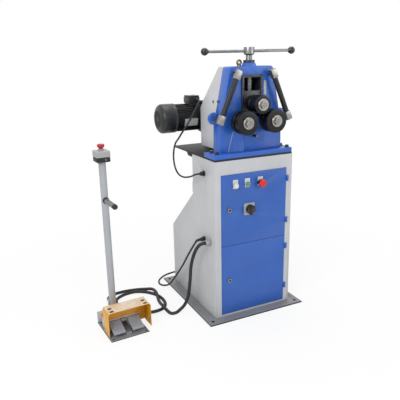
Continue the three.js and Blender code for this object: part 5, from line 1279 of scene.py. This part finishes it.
roll_front = -53
bore_radius = 15.3
lower_rise = 166.5
upper_rise = 246
lower_half = 77
gear_front, gear_back = 135, 159
tooth_module = 7
wheel_teeth = 18
pinion_teeth = 14
gear_distance = tooth_module * (wheel_teeth + pinion_teeth) / 2
pinion_rise = lower_rise - math.sqrt(gear_distance**2 - lower_half**2)


def rim(radius, at, into, edge=2.0, steps=4):
    """Profile points of a rounded rim; into is +1 where the body lies above and -1 where it lies below."""
    angles = [math.pi / 2 * i / steps for i in range(steps + 1)]
    return [(radius - edge + edge * math.sin(a), at + into * edge * (1 - math.cos(a))) for a in angles]


def ring_roll(x, z, length, radius, groove, ring_front, ring_rear):
    """A roll with a groove between two rings, its rims rounded and a shallow step on the face."""
    front, rear = roll_front, roll_front + length
    front_edge, rear_edge = front + ring_front, rear - ring_rear
    profile = [(bore_radius, front + 0.8), (30, front + 0.8), (30.8, front), *rim(radius, front, 1)]
    profile += [(radius, front_edge - 1), (radius - 1, front_edge), (groove + 0.6, front_edge)]
    profile += [(groove, front_edge + 0.6), (groove, rear_edge - 0.6), (groove + 0.6, rear_edge)]
    profile += [(radius - 1, rear_edge), (radius, rear_edge + 1), *reversed(rim(radius, rear, -1))]
    return Shape().turned([*profile, (bore_radius, rear)], "y", (x, 0, z), 96, True)


def shaft_shape(x, z, length, back):
    """A roll shaft: shoulder behind the roll, chamfered tail and a threaded nose."""
    rear = roll_front + length + 0.3
    nose = [(0, -72), (8.6, -72), (9.9, -70.8), (9.9, -53.2), (14.9, -52.9)]
    body = [(15, rear), (21, rear), (22, rear + 1), (22, rear + 7), (21, rear + 8), (15, rear + 8)]
    tail = [(15, back - 1.5), (13.5, back), (5, back), (3.4, back - 3), (0, back - 3)]
    return Shape().turned(nose + body + tail, "y", (x, 0, z), 64)


def nut_shape(x, z):
    """A thick washer with a turned face, and a chamfered hexagon nut on it."""
    washer = [(10.3, -53.3), (27.4, -53.3), (28, -53.9), (28, -57.6), (26.6, -59.3), (10.3, -59.3)]
    nut = Shape().turned(washer, "y", (x, 0, z), 64, True)
    outer = 32 / math.sqrt(3)
    head = [(10.3, -59.2), (outer, -59.2), (outer, -68.2), (outer - 2, -69.3), (11.6, -69.3), (10.3, -68.2)]
    return nut.turned(head, "y", (x, 0, z), 6, True)


def build_rolls():
    wide = (67, 55, 46, 25, 22)
    narrow = (80, 42, 39, 48, 22)
    for name, x, z, form, back in (
        ("upper", 0, upper_rise, narrow, 112),
        ("left", -lower_half, lower_rise, wide, 171),
        ("right", lower_half, lower_rise, wide, 171),
    ):
        body = name + "_roll_set"
        roll = ring_roll(x, z, *form)
        on_head(roll, name + "_ring_roll", "roll", body, smooth=40, stands_for=[name + "_roll"])
        shaft = shaft_shape(x, z, form[0], back)
        on_head(shaft, name + "_roll_shaft", "turned", body, smooth=30, stands_for=[name + "_shaft"])
        nut = nut_shape(x, z)
        on_head(nut, name + "_washer_and_nut", "nut", body, smooth=30, stands_for=[name + "_roll_nut"])
        thread = thread_of("turned", 2.6, 9.6, 4.6, 0.55)
        place = turned_to("y", (x + head_x, -71.2, z + head_z))
        put(mesh_at(thread, place), name + "_nose_thread", "turned", body, smooth=60)


def build_gears():
    """The two wheels on the lower shafts and the driving pinion, with hubs turned on their faces."""
    for side, x in (("left", -lower_half), ("right", lower_half)):
        rounded_copy(side + "_gear", side + "_wheel_gear", "gear", 0.0005)
        hub = Shape()
        for face, into in ((gear_front, -1), (gear_back, 1)):
            low, high = face - into, face + 1.2 * into
            ring = [(bore_radius, low), (28, low), (28, face + 0.6 * into), (27, high), (bore_radius, high)]
            hub.turned(ring, "y", (x, 0, lower_rise), 64, True)
        on_head(hub, side + "_wheel_hub_faces", "turned", side + "_roll_set", smooth=30)
    rounded_copy("drive_pinion", "pinion_gear", "gear", 0.0005)


# Guide bars beside the rolls

guide_low = (192, 162)
guide_high = (88, 400)
guide_plane = 12
guide_block = 42
guide_half = 13.5
core_radius = 12.1


def build_guide_bar(name, side):
    """Square steel ends, a black sleeve ribbed like a coarse thread, and two studs to the casting."""
    run = math.dist(guide_low, guide_high)
    lean = math.degrees(math.atan2(guide_low[0] - guide_high[0], guide_high[1] - guide_low[1]))
    place = turned_by(-side * lean, "Y", (head_x + side * guide_low[0], guide_plane, head_z + guide_low[1]))
    node = name + "_guide_bar"
    ends = Shape()
    for low, high in ((0, guide_block), (run - guide_block, run)):
        ends.block(-guide_half, guide_half, -guide_half, guide_half, low, high)
    place_shape(ends.moved(place), node + "_ends", "nut", edge=0.001, steps=3, stands_for=[node])
    profile = rounded_profile(core_radius, guide_block - 1, run - guide_block + 1, 0.4)
    sleeve = Shape().turned(profile, sides=56)
    place_shape(sleeve.moved(place), node + "_sleeve", "sleeve", stands_for=[node])
    height = run - 2 * guide_block - 3
    rib = thread_of("sleeve", height * millimetre / sizes().rib_pitch, core_radius, height, 0.9)
    start = place @ Matrix.Translation((0, 0, guide_block + 1.5))
    put(mesh_at(rib, start), node + "_rib", "sleeve", smooth=60)
    studs = Shape()
    for along, depth in ((guide_block / 2, 72), (run - guide_block / 2, casting_front)):
        reach = depth - guide_plane - 0.3
        studs.turned(rounded_profile(8, 0, reach, 0.5), "y", (0, 0, along), 40)
        flange = [(8, reach - 5), (11.5, reach - 5), (11.5, reach - 0.6), (8, reach - 0.6)]
        studs.turned(flange, "y", (0, 0, along), 40, True)
    place_shape(studs.moved(place), node + "_studs", "bar", smooth=30, stands_for=[node])


def build_guide_bars():
    build_guide_bar("left", -1)
    build_guide_bar("right", 1)


# Gearbox and motor behind the casting

motor_y, motor_z = 375, 162
motor_face = -115.3
motor_end = -268
cover_end = -330
box_half = 34
fin_count = 44


def motor_frame(along):
    """The placement that turns a shape made round Z onto the motor's axis, from a place along it."""
    return turned_to("x", (head_x + along, motor_y, head_z + motor_z))


def motor_piece(profile, name, sides=72, ring=False, **options):
    shape = Shape().turned(profile, "x", (0, motor_y, motor_z), sides, ring)
    on_head(shape, name, "motor", **options)


def rounded_end(reach):
    """Profile points of the fan cover's rounded end, outside or inside."""
    angles = [a * math.pi / 24 for a in range(13)]
    return [(40 + reach * math.cos(a), cover_end - (reach - 10) * math.sin(a)) for a in angles]


def build_gearbox():
    rounded_copy("gearbox", "worm_gearbox", "motor", 0.002, 3)
    cap = [(0, 431), (34, 431), (34, 433.2), (31, 434.4), (0, 434.4)]
    on_head(Shape().turned(cap, "y", (0, 0, pinion_rise), 56), "gearbox_bearing_cap", "motor", smooth=30)
    screw = socket_screw(Shape(), 3.6, 0, 3.4).to_mesh("cap_screw")
    place = turned_to("y", (head_x, 434, head_z + pinion_rise))
    put(mesh_at(ring_of(screw, "zinc", 6, 27, 0.5), place), "gearbox_cap_screws", "zinc", smooth=30)
    bolt = hexagon(Shape(), 10, 0, 6).to_mesh("flange_bolt")
    bolts = ring_of(bolt, "zinc", 4, 73, 0.785)
    put(mesh_at(bolts, motor_frame(-95.2)), "motor_flange_bolts", "zinc", smooth=30)


def build_motor():
    """Finned housing and flange, and the fan cover with its air holes drawn as discs of painted shade."""
    core = [(0, motor_end), (62.6, motor_end), (62.6, motor_face), (80, motor_face)]
    core += [(81.8, motor_face + 1.2), (81.8, -105.9), (81, -105.3), (0, -105.3)]
    motor_piece(core, "motor_housing", smooth=30, stands_for=["motor_body"])
    height = sizes().fin_height / millimetre
    half = sizes().fin_thickness / millimetre / 2
    fin = Shape().block(-0.8, height - 0.6, -half, half, 0, motor_face - motor_end).to_mesh("cooling_fin")
    fins = ring_of(fin, "motor", fin_count, 62, 0.0)
    put(mesh_at(fins, motor_frame(motor_end)), "motor_cooling_fins", "motor")
    pad = Shape().block(-188, -134, motor_y - 30, motor_y + 30, motor_z + 55, motor_z + 71.4)
    on_head(pad, "terminal_box_seat", "motor", edge=0.001, stands_for=["motor_body"])
    outer, inner = rounded_end(34), rounded_end(30)
    skirt = [(70, -268.4), (73.9, -268.4), (73.9, -274), (72.6, -275.6), (72.6, -284), (73.9, -285.6)]
    cover = [(12, inner[-1][1]), *reversed(inner), *skirt, *outer, (12, outer[-1][1])]
    motor_piece(cover, "fan_cover_shell", 96, True, smooth=40, stands_for=["fan_cover"])
    cap = [(0, -349), (12.2, -349), (12.2, -353.6), (0, -353.6)]
    motor_piece(cap, "fan_cover_hub", 40, stands_for=["fan_cover"])
    # The air holes are thin near-black discs on the cover's end: painted shade, not cut holes.
    hole = Shape().rod(2.8, 0, 0.5, sides=12).to_mesh("air_hole")
    air = bmesh.new()
    for radius, count in ((16, 12), (22, 18), (28, 24), (34, 28), (40, 34)):
        air.from_mesh(ring_of(hole, "knob", count, radius, 0.1 * radius))
    holes = bpy.data.meshes.new("air_holes")
    air.to_mesh(holes)
    air.free()
    put(mesh_at(holes, motor_frame(-354.3)), "fan_cover_air_holes", "painted_shade")


def build_terminal_box():
    """The box on the motor with its lid and gland, and a blank plate on the motor's side."""
    solids = ["terminal_box"]
    low, high = motor_y - box_half, motor_y + box_half
    box = Shape().block(-192, -130, low, high, motor_z + 71.8, motor_z + 101.8)
    on_head(box, "terminal_box_body", "motor", edge=0.0035, steps=4, stands_for=solids)
    lid = Shape().block(-190.4, -131.6, low + 1.6, high - 1.6, motor_z + 102.3, motor_z + 109.7)
    on_head(lid, "terminal_box_lid", "motor", edge=0.0028, steps=4, stands_for=solids)
    screws = Shape()
    for x in (-184, -138):
        for y in (low + 8, high - 8):
            socket_screw(screws, 3.2, motor_z + 109.5, motor_z + 111, centre=(x, y, 0))
    on_head(screws, "terminal_lid_screws", "zinc", smooth=30)
    centre = (-152, 0, 251.8)
    base = [(0, 341), (13.8, 341), (13.8, 334.6), (13, 334), (0, 334)]
    dome = [(4.8, 334), (9.9, 334), (9.9, 322), (8.8, 319.2), (6.6, 318.2), (4.8, 318.6)]
    gland = Shape().turned(base, "y", centre, 6).turned(dome, "y", centre, 40, True)
    on_head(gland, "terminal_box_gland", "nylon", smooth=30, stands_for=solids)
    plate = Shape()
    for angle in (math.radians(180 + i * 2.67) for i in range(13)):
        for radius in (71.2, 70):
            y, z = motor_y + radius * math.cos(angle), motor_z + radius * math.sin(angle)
            plate.points += [Vector((-232, y, z)), Vector((-160, y, z))]
    for a in range(0, 48, 4):
        b = a + 4
        plate.faces += [(a, a + 1, b + 1, b), (a + 2, a + 3, b + 3, b + 2), (a, b, b + 2, a + 2)]
        plate.faces += [(a + 1, b + 1, b + 3, a + 3)]
    plate.faces += [(0, 1, 3, 2), (48, 49, 51, 50)]
    on_head(plate, "motor_blank_plate", "box")


# Pedal station and its stop post

guard_middle = 14
pedal_spans = {"left": (-76.5, -18.5), "right": (18.5, 76.5)}


def build_pedal_base():
    rounded_copy("pedal_base", "pedal_floor_plate", "station", sizes().sheet_edge)
    # A thin black band round the foot of the pedal plate: painted contact shadow along its bottom edge.
    strip = Shape()
    for x0, x1, y0, y1 in ((-96.4, 96.4, -0.4, 0), (-96.4, -96, 0, 212), (96, 96.4, 0, 212)):
        strip.block(x0, x1, y0, y1, 0.1, 3.6)
    on_station(strip, "pedal_plate_painted_shadow_strip", "rubber")
    screws = Shape()
    for x in (-83, 83):
        for y in (13, 196):
            socket_screw(screws, 4.6, 1, 5.4, centre=(x, y, 0))
    on_station(screws, "pedal_plate_screws", "knob", smooth=30)
    rib = Shape().prism([(24, 14), (24, 17.2), (90, 42.6), (90, 39)], "x", -0.9, 0.9).to_mesh("pedal_rib")
    ribs = row_of(rib, "nylon", 5, x=4.6)
    start = station_matrix() @ Matrix.Translation((-9.2, 0, 0))
    put(mesh_at(ribs, start), "pedal_divider_ribs", "nylon")


def build_pedals():
    """Two pads with tread bars across them."""
    for side, (low, high) in pedal_spans.items():
        body = side + "_pedal"
        rounded_copy("pedal_" + side, side + "_pedal_pad", "pedal", 0.0016, 3)
        bar = Shape().block(low + 4, high - 4, -0.7, 0.7, -0.2, 0.7).to_mesh("tread_bar")
        bars = row_of(bar, "pedal", 9, y=5.6)
        slope = math.degrees(math.atan2(26, 79))
        rise = station_matrix() @ turned_by(slope, "X", (0, 24, 33.2))
        put(mesh_at(bars, rise), side + "_pedal_treads", "pedal", body)


def oval(x, y, length, width, steps=8):
    """Points of a slot with round ends."""
    reach = (length - width) / 2
    points = []
    for side, start in ((1, -90), (-1, 90)):
        for i in range(steps + 1):
            angle = math.radians(start + 180 * i / steps)
            points.append((x + side * reach + width / 2 * math.cos(angle), y + width / 2 * math.sin(angle)))
    return points


def build_guard():
    """The guard with its slots drawn as dark ovals of painted shade, its back skirt and side screws, and the
    painted skins behind it.
    """
    rounded_copy("pedal_guard", "pedal_guard_hood", "guard", sizes().sheet_edge)
    # The slots are near-black ovals laid on the top: painted shade, not cut holes.
    holes = Shape()
    for side in (-1, 1):
        for y in (47, 79):
            holes.prism(oval(guard_middle + side * 85, y, 19.6, 15.6), "z", 130.7, 132.6)
    on_station(holes, "guard_slot_painted_shade", "painted_shade")
    skirt = Shape().block(guard_middle - 104, guard_middle + 107, 109.6, 112, 14, 100)
    on_station(skirt, "guard_back_skirt", "guard", edge=0.0008)
    upstand = Shape().block(-96.2, 96.2, 208.7, 212.2, 4.2, 62.2)
    on_station(upstand, "rear_upstand_skin", "cover", edge=0.0008)
    housing = Shape()
    housing.block(-86.3, 86.3, 102.7, 165.3, 5, 44)
    housing.block(-85.9, 85.9, 103.1, 164.9, 44, 45)
    housing.block(-86.3, 86.3, 102.7, 165.3, 45, 60.4)
    on_station(housing, "switch_housing_shell", "cover", edge=0.0012)
    screws = Shape()
    for side in (-1, 1):
        for y in (60, 98):
            screw = socket_screw(Shape(), 5, -1, 2.6)
            screws.joined(screw.moved(turned_by(90 * side, "Y", (guard_middle + side * 108.4, y, 22))))
    on_station(screws, "guard_side_screws", "zinc", smooth=30)


def build_post():
    """A round post with its cable glands and a rest bar."""
    x, y = pole_at
    tube = Shape()
    tube.turned([(15, 16), (17, 16), (17, 824.6), (16.6, 826), (15, 826)], "z", (x, y, 0), 64, True)
    tube.turned([(15, 4.3), (18.8, 4.3), (18.8, 15.2), (17.6, 16.3), (15, 16.3)], "z", (x, y, 0), 64, True)
    on_station(tube, "post_tube", "pole", smooth=30, stands_for=["pole"])
    clip = Shape().block(x - 23, x - 15.2, y - 7, y + 7, 92, 126)
    on_station(clip, "post_clamp", "pole", edge=0.002, steps=3, stands_for=["pole"])
    glands = Shape()
    ring = [(8.6, 14.5), (12, 14.5), (12, 24), (11.2, 25), (11.2, 32), (10, 35), (8.6, 35)]
    for z in (118, 78):
        glands.turned(ring, "y", (0, 0, z), 40, True)
    glands.moved(Matrix.Translation((x, y, 0)) @ Matrix.Rotation(pole_gland_turn, 4, "Z"))
    on_station(glands, "post_cable_glands", "nylon", smooth=30, stands_for=["pole"])
    centre = (x, y, 642)
    profile = [(0, -147), (8.6, -147), (11.2, -145.6), (12.4, -143), (12.4, -23.4)]
    profile += [(15, -23), (15.9, -22), (15.9, -14.5), (0, -14.5)]
    grip = Shape().turned(profile, "y", centre, 56)
    on_station(grip, "post_rest_bar", "gripbar", smooth=30, stands_for=["pole_grip"])
    plug = [(0, -147.4), (8.4, -147.4), (11.6, -146), (12.7, -143), (12.7, -134), (0, -134)]
    collar = [(12.2, -29), (13.6, -28.4), (15.9, -23), (16.1, -21), (16.1, -14.6), (12.2, -14.6)]
    cap = Shape().turned(plug, "y", centre, 40).turned(collar, "y", centre, 48, True)
    on_station(cap, "post_rest_bar_plug", "rubber")


def build_stop_box():
    x, y = pole_at
    solids = ["estop_box"]
    base = Shape().block(x - 32, x + 32, y - 32, y + 32, 826.3, 848.2)
    on_station(base, "stop_box_base", "nylon", edge=0.0036, steps=4, stands_for=solids)
    lid = Shape().block(x - 33, x + 33, y - 33, y + 33, 848.4, 878.3)
    on_station(lid, "stop_box_lid", "box", edge=0.0046, steps=5, stands_for=solids)
    profile = [(9.6, 878), (15, 878), (15, 884), (14, 885.3), (9.6, 885.3)]
    collar = Shape().turned(profile, "z", (x, y, 0), 48, True)
    on_station(collar, "stop_box_collar", "box", smooth=30, stands_for=solids)
    screws = Shape()
    for across, along in ((-26, -26), (26, -26), (-26, 26), (26, 26)):
        socket_screw(screws, 3, 877.6, 878.7, centre=(x + across, y + along, 0))
    face = socket_screw(Shape(), 3.2, -0.5, 0.9).moved(turned_by(90, "X", (x + 10, y - 32, 838)))
    on_station(screws.joined(face), "stop_box_screws", "zinc", smooth=30)
    profile = [(0, 867.4), (8.9, 867.4), (8.9, 890.6), (12, 891.4), (15.6, 894.4), (17, 897.4), (17, 903.6)]
    profile += [(16.2, 906), (13.8, 907.6), (9, 908.2), (0, 908.3)]
    head = Shape().turned(profile, "z", (x, y, 0), 64)
    on_station(head, "stop_head", "stophead", "estop_mushroom", smooth=40, stands_for=["estop_button"])


# Cords

def point_along(path, distance):
    for a, b in zip(path, path[1:]):
        step = (b - a).length
        if distance <= step:
            return a.lerp(b, distance / step)
        distance -= step
    return path[-1]


def strain_relief(name, path, start, length, thick, thin):
    """A ribbed sleeve that tapers along a cable's own path from its gland."""
    steps = 40
    points = []
    radii = []
    for i in range(steps + 1):
        share = i / steps
        points.append(point_along(path, start + length * share))
        groove = 0.8 if 3 < i < 37 and i % 4 > 1 else 0.0
        radii.append(thick + (thin - thick) * share - groove)
    return place_shape(Shape().tube(points, radii, 28), name, "rubber", smooth=30)


def build_cables():
    """The two cables of the foot switch and the motor's cable."""
    size = sizes()
    for node, route, diameter, lay in (
        ("control_cable", control_route, size.control_cable_diameter, "loose"),
        ("estop_cable", estop_route, size.control_cable_diameter, "loose"),
        ("motor_cable", motor_route, size.motor_cable_diameter, "hanging"),
    ):
        lay_cable(node + "_hose", smooth_path(route, cable_steps), diameter, [node])


def build_mains_lead():
    """The mains lead with its strain relief, its coil on the floor and its plug."""
    profile = [(0, 0), (8, 0), (8.6, 5), (9.2, 12), (10, 20), (11, 20.6), (13.6, 22.4), (15.2, 26)]
    profile += [(15.2, 36), (14.4, 38), (14.4, 52), (15.2, 54), (15.2, 62), (14.6, 65), (13, 66), (0, 66)]
    plug = Shape().turned(profile, "y").moved(plug_frame())
    body = place_shape(plug, "mains_plug_body", "nylon", stands_for=["mains_plug"])
    pins = Shape()
    for x in (-9.5, 9.5):
        pins.turned([(0, 65), (2.4, 65), (2.4, 83.6), (1.6, 85), (0, 85)], "y", (x, 0, 0), 20)
    prongs = place_shape(pins.moved(plug_frame()), "mains_plug_pins", "bar")
    path = mains_path(per_turn=36, lead_steps=90)
    relief = strain_relief("mains_strain_relief", path, start=21, length=34, thick=7.8, thin=5.5)
    solids = ["mains_lead", "mains_coil"]
    lay_cable("mains_lead_hose", path, sizes().mains_diameter, solids)


# Operators and panel

class RINGROLLER_OT_cabinet(bpy.types.Operator):
    """Floor plate, sheet housing, table top and anchor screws"""

    bl_idname = "ringroller.cabinet"
    bl_label = "Cabinet"

    def execute(self, context):
        build_cabinet()
        return {"FINISHED"}


class RINGROLLER_OT_switchgear(bpy.types.Operator):
    """Contactors, breakers and terminals behind the upper door"""

    bl_idname = "ringroller.switchgear"
    bl_label = "Switchgear"

    def execute(self, context):
        build_switchgear()
        return {"FINISHED"}


class RINGROLLER_OT_doors(bpy.types.Operator):
    """Two doors with their hinges and locks"""

    bl_idname = "ringroller.doors"
    bl_label = "Doors"

    def execute(self, context):
        build_doors()
        return {"FINISHED"}


class RINGROLLER_OT_controls(bpy.types.Operator):
    """Lamp, start, stop and main switch with blank plates"""

    bl_idname = "ringroller.controls"
    bl_label = "Controls"

    def execute(self, context):
        build_controls()
        return {"FINISHED"}


class RINGROLLER_OT_side_fittings(bpy.types.Operator):
    """Cable glands and the conduit adaptor on the left wall"""

    bl_idname = "ringroller.side_fittings"
    bl_label = "Side fittings"

    def execute(self, context):
        build_side_fittings()
        return {"FINISHED"}


class RINGROLLER_OT_casting(bpy.types.Operator):
    """The cast bending head, its pads, bolts and eye bolt"""

    bl_idname = "ringroller.casting"
    bl_label = "Casting"

    def execute(self, context):
        build_casting()
        build_lifting_eye()
        return {"FINISHED"}


class RINGROLLER_OT_guide_and_slide(bpy.types.Operator):
    """The window frame and the block that carries the upper roll"""

    bl_idname = "ringroller.guide_and_slide"
    bl_label = "Guide and slide"

    def execute(self, context):
        build_guide_and_slide()
        return {"FINISHED"}


class RINGROLLER_OT_gear_cover(bpy.types.Operator):
    """The folded cover behind the casting"""

    bl_idname = "ringroller.gear_cover"
    bl_label = "Gear cover"

    def execute(self, context):
        build_rear_cover()
        return {"FINISHED"}


class RINGROLLER_OT_feed_screw(bpy.types.Operator):
    """The screw, its nut and the handle with two balls"""

    bl_idname = "ringroller.feed_screw"
    bl_label = "Feed screw"

    def execute(self, context):
        build_feed_screw()
        return {"FINISHED"}


class RINGROLLER_OT_rolls(bpy.types.Operator):
    """Three grooved rolls with shafts, washers and nuts"""

    bl_idname = "ringroller.rolls"
    bl_label = "Rolls"

    def execute(self, context):
        build_rolls()
        return {"FINISHED"}


class RINGROLLER_OT_gears(bpy.types.Operator):
    """The wheels on the lower shafts and the pinion"""

    bl_idname = "ringroller.gears"
    bl_label = "Gears"

    def execute(self, context):
        build_gears()
        return {"FINISHED"}


class RINGROLLER_OT_guide_bars(bpy.types.Operator):
    """The ribbed bars on both sides of the rolls"""

    bl_idname = "ringroller.guide_bars"
    bl_label = "Guide bars"

    def execute(self, context):
        build_guide_bars()
        return {"FINISHED"}


class RINGROLLER_OT_drive(bpy.types.Operator):
    """Worm gearbox, motor, fan cover and terminal box"""

    bl_idname = "ringroller.drive"
    bl_label = "Drive"

    def execute(self, context):
        build_gearbox()
        build_motor()
        build_terminal_box()
        return {"FINISHED"}


class RINGROLLER_OT_pedals(bpy.types.Operator):
    """Pedal base, two pads and the yellow guard"""

    bl_idname = "ringroller.pedals"
    bl_label = "Pedals"

    def execute(self, context):
        build_pedal_base()
        build_pedals()
        build_guard()
        return {"FINISHED"}


class RINGROLLER_OT_stop_post(bpy.types.Operator):
    """The post, its rest bar and the stop box"""

    bl_idname = "ringroller.stop_post"
    bl_label = "Stop post"

    def execute(self, context):
        build_post()
        build_stop_box()
        return {"FINISHED"}


class RINGROLLER_OT_cords(bpy.types.Operator):
    """Control cables, motor cable and mains lead"""

    bl_idname = "ringroller.cords"
    bl_label = "Cords"

    def execute(self, context):
        build_cables()
        build_mains_lead()
        return {"FINISHED"}


class RINGROLLER_OT_stage(bpy.types.Operator):
    """Camera, studio floor, surround and three lamps"""

    bl_idname = "ringroller.stage"
    bl_label = "Stage"

    def execute(self, context):
        make_camera()
        make_stage()
        return {"FINISHED"}


class RINGROLLER_PT_panel(bpy.types.Panel):
    """Every step of the build, in order."""

    bl_idname = "RINGROLLER_PT_panel"
    bl_label = "Ring roller"
    bl_space_type = "VIEW_3D"
    bl_region_type = "UI"
    bl_category = "Ring roller"

    def draw(self, context):
        column = self.layout.column(align=True)
        for step in steps_in_order:
            column.operator(step.bl_idname)
        box = self.layout.box()
        for name in RingRollerSizes.__annotations__:
            box.prop(sizes(), name)
        box = self.layout.box()
        for name in RingRollerColours.__annotations__:
            box.prop(colours(), name)


steps_in_order = (
    RINGROLLER_OT_cabinet,
    RINGROLLER_OT_switchgear,
    RINGROLLER_OT_doors,
    RINGROLLER_OT_controls,
    RINGROLLER_OT_side_fittings,
    RINGROLLER_OT_casting,
    RINGROLLER_OT_guide_and_slide,
    RINGROLLER_OT_gear_cover,
    RINGROLLER_OT_feed_screw,
    RINGROLLER_OT_rolls,
    RINGROLLER_OT_gears,
    RINGROLLER_OT_guide_bars,
    RINGROLLER_OT_drive,
    RINGROLLER_OT_pedals,
    RINGROLLER_OT_stop_post,
    RINGROLLER_OT_cords,
    RINGROLLER_OT_stage,
)
settings_groups = (RingRollerColours, RingRollerSizes)


def register():
    for item in (*settings_groups, *steps_in_order, RINGROLLER_PT_panel):
        bpy.utils.register_class(item)
    bpy.types.Scene.ring_roller_colours = bpy.props.PointerProperty(type=RingRollerColours)
    bpy.types.Scene.ring_roller_sizes = bpy.props.PointerProperty(type=RingRollerSizes)


def unregister():
    del bpy.types.Scene.ring_roller_sizes
    del bpy.types.Scene.ring_roller_colours
    for item in reversed((*settings_groups, *steps_in_order, RINGROLLER_PT_panel)):
        bpy.utils.unregister_class(item)


def main():
    register()
    for step in steps_in_order:
        call = getattr(bpy.ops.ringroller, step.bl_idname.partition(".")[2])
        if call() != {"FINISHED"}:
            raise RuntimeError(step.bl_label + " was not finished")


if __name__ == "__main__":
    main()
